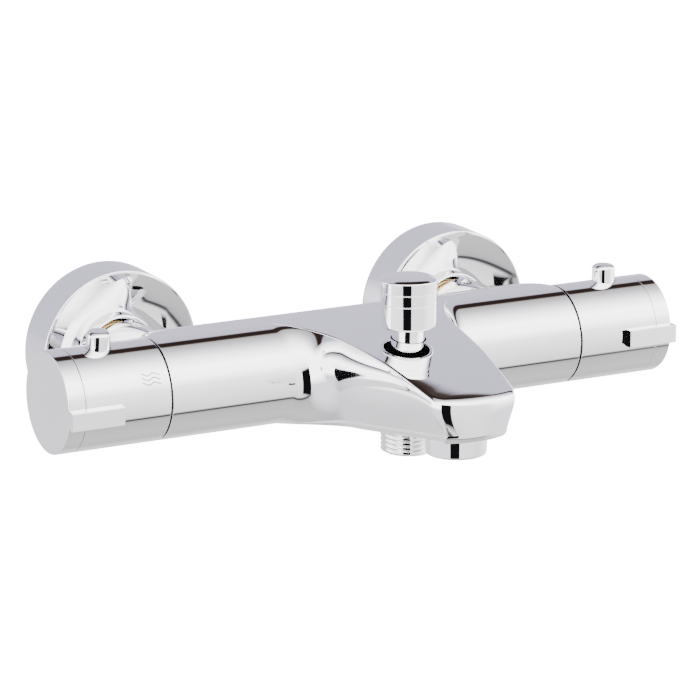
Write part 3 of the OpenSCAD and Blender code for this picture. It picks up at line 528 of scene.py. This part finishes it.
def spoutFace(edge, surface, holeY, holeRadius, holeDepth):
    edge = edge[firstColumn:]
    flat = edge[:, None, :2] * np.concatenate([across, np.ones_like(across)], 2)

    def lift(points):
        return np.concatenate([points, surface(points[..., 0], axisY - points[..., 1])[..., None]], -1)

    centre = np.array([0.0, holeY])
    rowD, margin = edge[:, 1], holeRadius + casting["holeMargin"]
    top = np.argmax(rowD < holeY + margin)
    bottom = np.argmax(rowD < holeY - margin)
    widest = edge[(top + bottom) // 2, 0]
    inset = int(round((1 - margin / widest) * acrossSteps / 2))
    circle = holedGrid(bodyShell, flat, lift, (top, bottom, inset, acrossSteps - inset), centre, holeRadius)
    rim = lift(circle)
    floor = rim.copy()
    floor[:, 2] = holeDepth
    middle = np.array([0.0, holeY, holeDepth])
    bodyShell.add(rowsBetween(rim, floor, 5))
    bodyShell.add(middle + toAxis * (floor - middle)[None])


spoutFace(rightHalf[-1], spoutTop, knobY, casting["neckHole"], barRadius - casting["neckHoleDepth"])
spoutFace(rightHalf[0], spoutUnder, knobY, casting["hoseHole"], -barRadius / 8)


def housingBack(x, z):
    # depth of the housing's rear surface at (x, z)
    pastStart = np.maximum(np.abs(x) - housingStart, 0) / casting["housingEnd"]
    grow = np.sqrt(np.clip(1 - pastStart ** 2, 0, 1))
    depth = barRadius + grow * (casting["housingDepth"] - barRadius)
    edge = barRadius + grow * (casting["housingEdge"] - barRadius)
    rise = np.clip(np.abs(z) - (barRadius - edge), 0, edge)
    return axisY + depth - edge + np.sqrt(np.maximum(edge ** 2 - rise ** 2, 0))


# Inlet bosses: round spigots whose foot flares onto the housing.
boss = {"radius": 14.0, "start": -40.0, "front": -22.5, "bore": 11.1, "depth": 5.0,
             "flare": 4.0, "leastFlare": 0.05, "endGap": 0.4, "sink": 0.02, "rootDepth": 10.0,
             "rounds": [0, 0.8, 0.4, 0.2, 0]}
theta = np.linspace(0, 2 * np.pi, 129)[:, None]
room = bodyEnd - boss["endGap"] - inletX - boss["radius"] * np.cos(theta)
flare = np.minimum(boss["flare"], np.maximum(room, boss["leastFlare"]))
footTurn = np.linspace(0, np.pi / 2, 13)[None]
footR = boss["radius"] + flare * (1 - np.sin(footTurn))
footX, footZ = inletX + footR * np.cos(theta), footR * np.sin(theta)
footY = housingBack(footX, footZ) + flare * (1 - np.cos(footTurn)) - boss["sink"]
foot = np.stack([footX, footY, footZ], 2)
front, bore = boss["front"], boss["bore"]
boreFloor = front - boss["depth"]
lip = roundedLine([[boss["radius"], boss["start"]], [boss["radius"], front], [bore, front],
                   [bore, boreFloor], [0, boreFloor]], boss["rounds"])
tube = turned(lip, [inletX, 0, 0], "y")
join = columnsBetween(foot[:, -1:], tube[:, :1], 8)
root = columnsBetween(foot[:, :1], np.array([inletX, axisY + boss["rootDepth"], 0]), 3)
for side in (1, -1):
    for grid in (root, foot, join, tube):
        bodyShell.add(grid * [side, 1, 1])
body = makePiece("mixerBodySkin", bodyShell, "root", chrome, ["mixer_body"], sharpAngle=50)
print("body made:", len(body.data.polygons), "faces")

# Wall flanges.
flangeShape = {"rimRadius": 33.0, "lipRadius": 32.6, "depth": 18.0, "hub": 10.0, "hubRadius": 13.4,
               "wall": 1.8, "edge": 0.9, "lipWidth": 1.0, "lipClear": 1.2, "rimStart": -2,
               "collar": 2.0, "collarFront": 4.0, "rearChamfer": 0.3}


def flangeProfile(f):
    # the dish's depth grows with the square of the distance from its hole
    share = np.linspace(1, 0, 24)
    lip = f["lipRadius"] - f["lipWidth"]
    r = f["hubRadius"] + (lip - f["hubRadius"]) * share
    dish = np.stack([r, -(f["hub"] + (f["depth"] - f["hub"]) * share ** 2)], 1)
    back = dish[::-1] + [0, f["wall"]]
    back = back[(back[:, 0] > f["hubRadius"] + f["collar"]) & (back[:, 0] < lip - f["lipClear"])]
    outer = roundedLine([[f["rimRadius"], f["rimStart"]], [f["lipRadius"], -f["depth"]], dish[0]],
                        [0, f["edge"], 0], 8)
    rear = [[f["rimRadius"] - f["wall"], 0], [f["rimRadius"] - f["rearChamfer"], 0],
            [f["rimRadius"], -f["rearChamfer"]]]
    hub = [[f["hubRadius"], -f["hub"] + f["collarFront"]],
           [f["hubRadius"] + f["collar"], -f["hub"] + f["collarFront"]]]
    return np.concatenate([outer, dish[1:], hub, back, rear, outer[:1]])


for side, name in ((-1, "left"), (1, "right")):
    shell = Shell().add(turned(flangeProfile(flangeShape), [side * inletX, 0, 0], "y", 192))
    makePiece("flangeSkin" + name.capitalize(), shell, "root", chrome, ["wall_flange_" + name])

# Union nuts and wall threads.
nut = {"radius": 15.2, "front": -19.0, "back": -10.3, "bore": 11.2, "innerRadius": 13.3, "lip": 2.4,
            "slope": 2.0, "rounds": [0, 0.5, 0.9, 0.3, 0, 0, 0]}
radius, inner, bore = nut["radius"], nut["innerRadius"], nut["bore"]
front, back, lipBack = nut["front"], nut["back"], nut["front"] + nut["lip"]
nutProfile = roundedLine([[inner, back], [radius, back - nut["slope"]], [radius, front], [bore, front],
                          [bore, lipBack], [inner, lipBack], [inner, back]], nut["rounds"])
for side, name in ((-1, "left"), (1, "right")):
    shell = Shell().add(turned(nutProfile, [side * inletX, 0, 0], "y"))
    makePiece("unionNutSkin" + name.capitalize(), shell, "root", chrome, ["union_nut_" + name])


def threadTube(shell, centre, axis, start, end, thread, chamfer=1.0, sides=96):
    # A threaded tube. Its outer radius is crest - depth * |2 * frac(h/pitch - turn) - 1| ** 1.3.
    # The thread fades in over one pitch from start, and a chamfer takes chamfer - (distance from end) off.
    crest, depth, pitch, bore = (thread[key] for key in ("crest", "depth", "pitch", "bore"))
    steps = int(abs(end - start) / pitch * 14)
    h = np.linspace(start, end, steps + 1)[None, :, None]
    theta = np.linspace(0, 2 * np.pi, sides + 1)[:, None, None]
    phase = np.abs(h) / pitch - theta / (2 * np.pi)
    wave = np.abs(2 * (phase - np.floor(phase)) - 1) ** 1.3
    fromEnd = np.abs(h - end)
    fromStart = np.abs(h - start)
    fade = smooth(fromStart / pitch)
    radius = crest - depth * (wave * fade) - np.maximum(chamfer - fromEnd, 0)
    spoke = {"z": np.concatenate([np.cos(theta), np.sin(theta), np.zeros_like(theta)], 2),
             "y": np.concatenate([np.cos(theta), np.zeros_like(theta), np.sin(theta)], 2)}[axis]
    direction = np.array({"z": [0, 0, 1.0], "y": [0, 1.0, 0]}[axis])
    outer = np.array(centre, float) + radius * spoke + h * direction
    shell.add(outer)
    rim = outer[:, -1:]
    hole = np.array(centre, float) + bore * spoke + end * direction
    shell.add(columnsBetween(rim, hole, 4))
    return hole


union = {"offset": -3.5, "threadEnd": 14.0, "crest": 10.45, "depth": 1.1, "pitch": 1.814, "bore": 7.0,
              "threadStart": -1.0, "wallBoreFloor": 2.5, "shoulder": 14.7, "shoulderBack": -0.2,
              "shoulderFront": -5.0, "tube": 13.2, "tubeEnd": -13.2, "tubeBore": 7.5, "tubeBoreFloor": -3.0,
              "rounds": [0, 0.5, 0.5, 0.2, 0.6, 0.3, 0, 0]}
wide, wideBack, wideFront = (union[key] for key in ("shoulder", "shoulderBack", "shoulderFront"))
tube, tubeEnd, bore, boreFloor = (union[key] for key in ("tube", "tubeEnd", "tubeBore", "tubeBoreFloor"))
shoulder = roundedLine([[0, wideBack], [wide, wideBack], [wide, wideFront], [tube, wideFront], [tube, tubeEnd],
                        [bore, tubeEnd], [bore, boreFloor], [0, boreFloor]], union["rounds"])
for side, name in ((-1, "left"), (1, "right")):
    shell = Shell()
    centre = [side * inletX, 0, union["offset"]]
    hole = threadTube(shell, centre, "y", union["threadStart"], union["threadEnd"], union)
    floor = hole - [0, union["threadEnd"] + union["wallBoreFloor"], 0]
    shell.add(columnsBetween(hole, floor, 4))
    base = np.array([side * inletX, -union["wallBoreFloor"], union["offset"]])
    shell.add(columnsBetween(floor, base, 3))
    shell.add(turned(shoulder, [0, 0, 0], "y") + [side * inletX, 0, 0])
    makePiece("unionSkin" + name.capitalize(), shell, "root", rawBrass,
              ["eccentric_union_" + name])
print("wall side made")

# Handles.
grip = {
    "wall": 2.5, "edge": 0.35, "innerEdge": 0.2, "leverEdge": 0.3, "buttonHole": 4.75, "holeMargin": 2.5,
    "capGap": 0.2, "capPlug": 3.0, "capPlay": 0.1, "capRounds": [0, 0.3, 0.1, 0.25, 0.45, 0],
    "buttonRadius": 4.6, "buttonHeight": 6.8, "buttonCrown": (0.75, 0.35), "buttonShoulder": 1.3,
    "flangeWidth": 1.0, "flangeTop": 15.6, "flangeFoot": 14.1, "stemRadius": 2.0, "stemFoot": 11.0,
    "buttonRounds": [0, 2.2, 1.6, 0, 0.2, 0.2, 0.2, 0.3, 0],
}


def aboutBar(points, degrees):
    # turns points about the bar's axis
    turn = np.radians(degrees)
    y, z = points[..., 1] - axisY, points[..., 2]
    turnedY = axisY + y * np.cos(turn) - z * np.sin(turn)
    return np.stack([points[..., 0], turnedY, y * np.sin(turn) + z * np.cos(turn)], -1)


def sleeve(start, end, buttonX):
    # A tube about the bar's axis with a round hole for the button.
    # A flat point (x, arc) lifts to y = -r sin(arc / R), z = r cos(arc / R).
    shell = Shell()
    edge, inner = grip["edge"], barRadius - grip["wall"]
    xs = np.linspace(start + edge, end - edge, 49)
    arcs = np.linspace(-np.pi, np.pi, 161) * barRadius
    flat = np.stack(np.meshgrid(xs, arcs, indexing="ij"), 2)

    def onRadius(radius):
        def lift(p):
            angle = p[..., 1] / barRadius
            return np.stack([p[..., 0], axisY - radius * np.sin(angle), radius * np.cos(angle)], -1)
        return lift

    margin = grip["buttonHole"] + grip["holeMargin"]
    block = (np.searchsorted(xs, buttonX - margin), np.searchsorted(xs, buttonX + margin),
             np.searchsorted(arcs, -margin), np.searchsorted(arcs, margin))
    centre = np.array([buttonX, 0.0])
    rims = []
    for radius in (barRadius, inner):
        circle = holedGrid(shell, flat, onRadius(radius), block, centre, grip["buttonHole"])
        rims.append(onRadius(radius)(circle))
    shell.add(rowsBetween(*rims, 4))
    theta = arcs / barRadius
    around = np.stack([np.zeros_like(theta), -np.sin(theta), np.cos(theta)], 1)
    for x, outward in ((start, -1), (end, 1)):
        within = x - outward * edge
        line = roundedLine([[barRadius, within], [barRadius, x], [inner, x], [inner, within]],
                           [0, edge, grip["innerEdge"], 0], 5)
        ring = line[None, :, :1] * around[:, None]
        ring = ring + line[None, :, 1:] * np.array([1.0, 0, 0]) + np.array([0, axisY, 0])
        shell.add(ring)
    return shell


def roundedBar(low, high, edge):
    # A bar along X: a rectangle with round corners. At both ends it is drawn in on a quarter circle:
    # the step along X is edge * (1 - cos t), the inset edge * (1 - sin t).
    turn = np.linspace(0, np.pi / 2, 6)
    inset = np.concatenate([edge * (1 - np.sin(turn)), edge * (1 - np.sin(turn[::-1]))])
    xs = np.concatenate([low[0] + edge * (1 - np.cos(turn)), high[0] - edge * (1 - np.cos(turn[::-1]))])
    corner = np.linspace(0, 2 * np.pi, 33)[:-1]
    signY, signZ = np.sign(np.cos(corner + 1e-6)), np.sign(np.sin(corner + 1e-6))
    middle, half = (low[1:] + high[1:]) / 2, (high[1:] - low[1:]) / 2
    ring = np.stack([middle[0] + signY * (half[0] - edge) + edge * np.cos(corner),
                     middle[1] + signZ * (half[1] - edge) + edge * np.sin(corner)], 1)
    ring = np.concatenate([ring, ring[:1]])
    pull = (ring - middle) / (np.abs(ring - middle).max(0))
    rows = ring[None] - inset[:, None, None] * pull[None]
    grid = np.concatenate([np.broadcast_to(xs[:, None, None], rows.shape[:2] + (1,)), rows], 2)
    shell = Shell().add(grid)
    for row in (grid[0], grid[-1]):
        centre = np.array([row[0, 0], *middle])
        shell.add(rowsBetween(row, centre, 3))
    return shell


def turnShell(shell, side, degrees):
    # a shell made for the right end, mirrored to its side and turned to its rest angle
    shell.points = [aboutBar(p * [side, 1, 1], degrees) for p in shell.points]
    return shell


restTurn = {"flow": 6.5, "temperature": 0.0}
for side, name, control, button in ((-1, "flow", "flow_control", "eco_button"),
                                    (1, "temperature", "temperature_control", "safety_button")):
    degrees = restTurn[name]
    sleeveLow, sleeveHigh = cadRange(name + "_handle")
    start, end = sorted(np.abs([sleeveLow[0], sleeveHigh[0]]))
    capEnd = np.abs(cadRange(name + "_end_cap")[0 if side < 0 else 1][0])
    buttonLow, buttonHigh = cadRange(button)
    buttonX = abs(buttonLow[0] + buttonHigh[0]) / 2
    shell = turnShell(sleeve(start, end, buttonX), side, degrees)
    makePiece(name + "HandleSkin", shell, control, chrome, [name + "_handle"])

    inner = barRadius - grip["wall"] - grip["capPlay"]
    capStart = end + grip["capGap"]
    plugEnd = capStart - grip["capPlug"]
    capLine = roundedLine([[0, plugEnd], [inner, plugEnd], [inner, capStart], [barRadius, capStart],
                           [barRadius, capEnd], [0, capEnd]], grip["capRounds"], 8)
    shell = turnShell(Shell().add(turned(capLine, [0, axisY, 0], "x", 160)), side, degrees)
    makePiece(name + "CapSkin", shell, control, chrome, [name + "_end_cap"])

    leverLow, leverHigh = cadRange("temperature_lever")
    shell = turnShell(roundedBar(leverLow, leverHigh, grip["leverEdge"]), side, degrees)
    makePiece(name + "LeverSkin", shell, control, chrome, [name + "_lever"], sharpAngle=60)

    topZ, radius, stem = barRadius + grip["buttonHeight"], grip["buttonRadius"], grip["stemRadius"]
    crownShare, crownDrop = grip["buttonCrown"]
    flange, flangeTop, flangeFoot = radius + grip["flangeWidth"], grip["flangeTop"], grip["flangeFoot"]
    buttonLine = roundedLine(
        [[0, topZ], [radius * crownShare, topZ - crownDrop], [radius, topZ - grip["buttonShoulder"]],
         [radius, flangeTop], [flange, flangeTop], [flange, flangeFoot], [stem, flangeFoot],
         [stem, grip["stemFoot"]], [0, grip["stemFoot"]]], grip["buttonRounds"], 8)
    shell = turnShell(Shell().add(turned(buttonLine, [buttonX, axisY, 0], "z", 96)), side, degrees)
    makePiece(name + "ButtonSkin", shell, button, chrome, [button])
print("handles made")

# Diverter knob.
knob = {"radius": 11.1, "length": 19.8, "taper": 0.04, "neck": 6.3, "rim": 8.9, "recess": 1.6,
             "grooves": (6.0, 10.5), "grooveDeep": 0.25, "grooveHalf": 0.18, "grooveFloor": 0.4,
             "wallPoint": 13.0, "shoulder": 1.5, "dome": (0.78, 0.45),
             "footRounds": [0, 0.4, 0.1, 0.1, 0.15, 1.9, 0], "grooveRounds": [0.08, 0.05, 0.05, 0.08],
             "topRounds": [0.5, 9, 0], "shadeRingPlay": 0.05, "shadeRingFoot": 0.25, "shadeRingTop": 1.5}
knobTop, neckEnd = knobHigh[2], knobLow[2]
knobFoot = knobTop - knob["length"]


def knobRadius(drop):
    return knob["radius"] - knob["taper"] * drop


knobLine = [[0, neckEnd], [knob["neck"], neckEnd], [knob["neck"], knobFoot + knob["recess"]],
            [knob["rim"], knobFoot + knob["recess"]], [knob["rim"], knobFoot],
            [knobRadius(knobTop - knobFoot), knobFoot],
            [knobRadius(knob["wallPoint"]), knobTop - knob["wallPoint"]]]
knobRound = knob["footRounds"][:]
for drop in reversed(knob["grooves"]):
    z, wall = knobTop - drop, knobRadius(drop)
    mouth, bed = knob["grooveHalf"], knob["grooveHalf"] * knob["grooveFloor"]
    knobLine += [[wall, z - mouth], [wall - knob["grooveDeep"], z - bed],
                 [wall - knob["grooveDeep"], z + bed], [wall, z + mouth]]
    knobRound += knob["grooveRounds"]
domeShare, domeDrop = knob["dome"]
knobLine += [[knob["radius"], knobTop - knob["shoulder"]],
             [knob["radius"] * domeShare, knobTop - domeDrop], [0, knobTop]]
knobRound += knob["topRounds"]
shell = Shell().add(turned(roundedLine(knobLine, knobRound, 8), [0, knobY, 0], "z", 144))
makePiece("diverterKnobSkin", shell, "diverter", chrome, ["diverter_knob"])

# A near-black ring in the recess under the knob: painted shade, a dark ring standing where the recess is only
# in shadow.
shadeRingInner, shadeRingOuter = knob["neck"] + knob["shadeRingPlay"], knob["rim"] - knob["shadeRingPlay"]
shadeRingFoot, shadeRingTop = knobFoot + knob["shadeRingFoot"], knobFoot + knob["shadeRingTop"]
shadeRingLine = roundedLine([[shadeRingInner, shadeRingTop], [shadeRingInner, shadeRingFoot], [shadeRingOuter, shadeRingFoot],
                        [shadeRingOuter, shadeRingTop], [shadeRingInner, shadeRingTop]], [0, 0.2, 0.2, 0, 0])
shell = Shell().add(turned(shadeRingLine, [0, knobY, 0], "z", 96))
makePiece("diverterKnobRecessShade", shell, "diverter", paintedRecessShade)

# Hose outlet.
hose = {"crest": 10.45, "depth": 1.15, "pitch": 1.814, "bore": 6.0, "neckRadius": 9.1, "seatRise": 0.3,
             "collar": 0.6, "throat": 5.4, "throatLength": 3.0, "rounds": [0, 0.1, 0.2, 0.3, 0, 0.2, 0]}
hoseSeat, hoseEnd = spoutUnder(0, axisY - knobY) + hose["seatRise"], hoseLow[2]
collarEnd, throatFoot = hoseSeat - hose["collar"], hoseHigh[2] - hose["throatLength"]
shell = Shell()
hole = threadTube(shell, [0, knobY, 0], "z", collarEnd, hoseEnd, hose)
boreTop = hole.copy()
boreTop[..., 2] = throatFoot
shell.add(columnsBetween(hole, boreTop, 6))
bore, throat, neck, crest = (hose[key] for key in ("bore", "throat", "neckRadius", "crest"))
closing = roundedLine([[bore, throatFoot], [throat, throatFoot], [throat, hoseHigh[2]], [neck, hoseHigh[2]],
                       [neck, hoseSeat], [crest, hoseSeat], [crest, collarEnd]], hose["rounds"])
shell.add(turned(closing, [0, knobY, 0], "z", 96))
makePiece("hoseOutletSkin", shell, "root", chrome, ["hose_outlet"], sharpAngle=40)

# Aerator.
aerator = {"radius": 11.75, "bore": 8.6, "lip": 7.8, "lipDepth": 1.6, "lipChamfer": 0.3, "draft": 0.4,
                "sunk": 1.3, "rounds": [0, 0.2, 0.2, 0.4, 1.0, 0, 0],
                "wire": 0.16, "pitch": 0.85, "wave": 0.17, "screenRise": 2.0, "screenPlay": 0.15}
low = ringLow[2]
ringTop = spoutUnder(0, axisY - ringY) + aerator["sunk"]
bore, lip, radius, lipTop = aerator["bore"], aerator["lip"], aerator["radius"], low + aerator["lipDepth"]
ringLine = roundedLine([[bore, ringTop], [bore, lipTop], [lip, lipTop], [lip, low + aerator["lipChamfer"]],
                        [radius - aerator["draft"], low], [radius, ringTop], [bore, ringTop]],
                       aerator["rounds"], 7)
shell = Shell().add(turned(ringLine, [0, ringY, 0], "z", 144))
makePiece("aeratorRingSkin", shell, "root", chrome, ["aerator_housing"])


def wireScreen(radius, height):
    # Woven wires: each is a tube whose middle line is z = height + wave * cos(pi * (t / pitch + number)).
    # The second set crosses at right angles with the opposite wave.
    shell = Shell()
    ring = np.linspace(0, 2 * np.pi, 7)
    count = int(radius / aerator["pitch"])
    for number in range(-count, count + 1):
        offset = number * aerator["pitch"]
        reach = np.sqrt(max(radius ** 2 - offset ** 2, 0.05)) - 0.02
        t = np.linspace(-reach, reach, max(int(reach * 8), 4))
        for turnWire in (0, 1):
            wave = aerator["wave"] * np.sin(np.pi * (t / aerator["pitch"] + number + turnWire) + np.pi / 2)
            lineX = t[:, None] + 0 * ring
            lineY = offset + aerator["wire"] * np.cos(ring)[None] + 0 * t[:, None]
            lineZ = height + wave[:, None] + aerator["wire"] * np.sin(ring)[None]
            grid = np.stack([lineX, lineY, lineZ] if not turnWire else [lineY, lineX, lineZ], 2)
            grid = grid + np.array([0, ringY, 0])
            shell.add(grid)
            for row in (grid[0], grid[-1]):
                shell.add(rowsBetween(row, row[:-1].mean(0), 2))
    return shell


screen = wireScreen(aerator["bore"] - aerator["screenPlay"], low + aerator["screenRise"])
makePiece("aeratorScreenWires", screen, "root", steel, ["aerator_screen"], sharpAngle=80)
print("spout pieces made")

# Flow mark on the left handle.
mark = {"length": 7.4, "width": 0.5, "rise": 0.45, "gap": 1.75, "middle": -97.2, "angle": 27.0,
             "lift": 0.012, "foot": -0.05}
shell = Shell()
for row in (-1, 0, 1):
    # centre line: arc = rise * sin(1.5 pi t), drawn as a flat ribbon on the sleeve
    t = np.linspace(-1, 1, 41)
    x = mark["middle"] + t * mark["length"] / 2
    arc = row * mark["gap"] + mark["rise"] * np.sin(1.5 * np.pi * t)
    ribbon = []
    under, over = mark["foot"], mark["lift"]
    for offset, rise in ((-1, under), (-1, over), (1, over), (1, under), (-1, under)):
        angle = np.radians(mark["angle"]) + (arc + offset * mark["width"] / 2) / barRadius
        radius = barRadius + rise
        ribbon.append(np.stack([x, axisY - radius * np.cos(angle), radius * np.sin(angle)], 1))
    grid = np.stack(ribbon, 1)
    shell.add(grid)
    for end in (grid[0], grid[-1]):
        shell.add(rowsBetween(end, end[:-1].mean(0), 2))
makePiece("flowMark", shell, "flow_control", etched, sharpAngle=60)

# Stage, light and camera.
stageShape = {"floorZ": -0.32, "size": 14.0, "shade": 0.92, "roughness": 0.9, "glow": 14.0}
floorMesh = bpy.data.meshes.new("floor")
floorCorners = [(x * stageShape["size"], y * stageShape["size"], stageShape["floorZ"])
                for x, y in ((-1, -1), (1, -1), (1, 1), (-1, 1))]
floorMesh.from_pydata(floorCorners, [], [(0, 1, 2, 3)])
floor = bpy.data.objects.new("floor", floorMesh)
bpy.context.scene.collection.objects.link(floor)
floorMaterial, _, _, shader, _ = newMaterial("paleFloor")
shader.inputs["Base Color"].default_value = (*[stageShape["shade"]] * 3, 1)
shader.inputs["Roughness"].default_value = stageShape["roughness"]
shader.inputs["Emission Color"].default_value = (1, 1, 1, 1)
shader.inputs["Emission Strength"].default_value = stageShape["glow"]
floorMesh.materials.append(floorMaterial)
floor.visible_glossy = False
floor.visible_diffuse = False

# The studio's light. Heights are shares of the sky's radius, "table" to "sky" from below to above.
studioShape = {
    "strength": 7.5, "backdrop": 16.0,
    "table": (0.25, 0.243, 0.256), "sweep": (0.75, 0.74, 0.745),
    "tableEdge": (-0.34, -0.18), "sweepTop": (0.14, 0.32), "sweepSide": (0.52, 0.78),
    "gapMiddle": -35.0, "gapHalf": 17.5, "gapSoft": 0.01, "gapColor": (0.0012, 0.0011, 0.0013),
    "gapTop": (0.12, 0.2), "gapFoot": (-0.66, -0.58),
}
world = bpy.data.worlds.new("studio")
bpy.context.scene.world = world
world.use_nodes = True
nodes, links = world.node_tree.nodes, world.node_tree.links
nodes.clear()
place = nodes.new("ShaderNodeTexCoord")
split = nodes.new("ShaderNodeSeparateXYZ")
links.new(place.outputs["Generated"], split.inputs[0])


def mathNode(operation, first, second=None):
    node = nodes.new("ShaderNodeMath")
    node.operation = operation
    for index, value in enumerate((first, second)):
        if value is None:
            continue
        if isinstance(value, (int, float)):
            node.inputs[index].default_value = value
        else:
            links.new(value, node.inputs[index])
    return node.outputs[0]


# Height angle seen along the bar: 0 level in front, 90 overhead, 180 level behind, -90 straight down.
heightAngle = mathNode("ARCTAN2", split.outputs["Z"], mathNode("MULTIPLY", split.outputs["Y"], -1.0))
share = mathNode("ADD", mathNode("DIVIDE", heightAngle, 2 * np.pi), 0.5)
studioBands = [  # angle, then the light's red, green and blue as shares of the studio's strength
    (-180, 0.16, 0.157, 0.185), (-156, 0.20, 0.196, 0.207), (-132, 0.18, 0.177, 0.184),
    (-112, 0.12, 0.118, 0.122), (-90, 0.135, 0.133, 0.137), (-60, 0.12, 0.118, 0.12),
    (-53, 0.10, 0.098, 0.10), (-51.5, 0.012, 0.011, 0.013), (-48.5, 0.012, 0.011, 0.013),
    (-45, 0.22, 0.22, 0.223), (-12, 0.31, 0.31, 0.315), (12, 0.40, 0.40, 0.405),
    (30, 0.72, 0.715, 0.72), (50, 0.82, 0.81, 0.815), (70, 0.52, 0.52, 0.53), (84, 0.30, 0.30, 0.31),
    (98, 0.16, 0.16, 0.17), (111, 0.10, 0.098, 0.10), (114, 0.012, 0.008, 0.007),
    (117, 0.005, 0.0032, 0.0028), (125, 0.005, 0.0032, 0.0028), (128, 0.012, 0.009, 0.008),
    (131.5, 0.13, 0.125, 0.155), (180, 0.145, 0.14, 0.175)]
bands = rampOf(nodes, links, share, [(angle / 360 + 0.5, (red, green, blue))
                                     for angle, red, green, blue in studioBands])


def mixColor(factor, first, second):
    mix = nodes.new("ShaderNodeMix")
    mix.data_type = "RGBA"
    links.new(factor, mix.inputs["Factor"])
    for socket, value in (("A", first), ("B", second)):
        if isinstance(value, tuple):
            mix.inputs[socket].default_value = (*value, 1)
        else:
            links.new(value, mix.inputs[socket])
    return mix.outputs["Result"]


# The pale sweep on both sides, above a grey table. It ends at a low height.
upright = rangeOf(nodes, links, split.outputs["Z"], 0.0, 1.0, *studioShape["tableEdge"])
besideColor = mixColor(upright, studioShape["table"], studioShape["sweep"])
underTop = rangeOf(nodes, links, split.outputs["Z"], 1.0, 0.0, *studioShape["sweepTop"])
aside = mathNode("ABSOLUTE", split.outputs["X"])
besides = mathNode("MULTIPLY", underTop, rangeOf(nodes, links, aside, 0.0, 1.0, *studioShape["sweepSide"]))
surround = mixColor(besides, bands, besideColor)
# A dark upright gap in the front, as between two soft boxes.
sideAngle = mathNode("ARCTAN2", split.outputs["X"], mathNode("MULTIPLY", split.outputs["Y"], -1.0))
gapMiddle, gapHalf = (float(np.radians(studioShape[key])) for key in ("gapMiddle", "gapHalf"))
fromGap = mathNode("ABSOLUTE", mathNode("SUBTRACT", sideAngle, gapMiddle))
soft = studioShape["gapSoft"]
inGap = rangeOf(nodes, links, fromGap, 1.0, 0.0, gapHalf - soft, gapHalf + soft)
lowEnough = rangeOf(nodes, links, split.outputs["Z"], 1.0, 0.0, *studioShape["gapTop"])
highEnough = rangeOf(nodes, links, split.outputs["Z"], 0.0, 1.0, *studioShape["gapFoot"])
gapShare = mathNode("MULTIPLY", inGap, mathNode("MULTIPLY", lowEnough, highEnough))
light = mixColor(gapShare, surround, studioShape["gapColor"])
studio = nodes.new("ShaderNodeBackground")
links.new(light, studio.inputs["Color"])
studio.inputs["Strength"].default_value = studioShape["strength"]
backdrop = nodes.new("ShaderNodeBackground")
backdrop.inputs["Color"].default_value = (1, 1, 1, 1)
backdrop.inputs["Strength"].default_value = studioShape["backdrop"]
rays = nodes.new("ShaderNodeLightPath")
choose = nodes.new("ShaderNodeMixShader")
links.new(rays.outputs["Is Camera Ray"], choose.inputs["Fac"])
links.new(studio.outputs[0], choose.inputs[1])
links.new(backdrop.outputs[0], choose.inputs[2])
out = nodes.new("ShaderNodeOutputWorld")
links.new(choose.outputs[0], out.inputs["Surface"])

shot = {"azimuth": -28.74, "height": 14.19, "distance": 1.4412, "target": (0, -0.055, 0),
               "lens": 190.1, "sensor": 36, "shift": (0.0198, 0.0007), "clip": (0.05, 60)}
camera = bpy.data.objects.new("camera", bpy.data.cameras.new("camera"))
bpy.context.scene.collection.objects.link(camera)
bpy.context.scene.camera = camera
azimuth, height = np.radians(shot["azimuth"]), np.radians(shot["height"])
back = np.array([np.sin(azimuth) * np.cos(height), -np.cos(azimuth) * np.cos(height), np.sin(height)])
camera.location = np.array(shot["target"]) + shot["distance"] * back
camera.rotation_euler = (np.pi / 2 - height, 0, azimuth)
camera.data.lens = shot["lens"]
camera.data.sensor_width = shot["sensor"]
camera.data.shift_x, camera.data.shift_y = shot["shift"]
camera.data.clip_start, camera.data.clip_end = shot["clip"]
print("stage made")
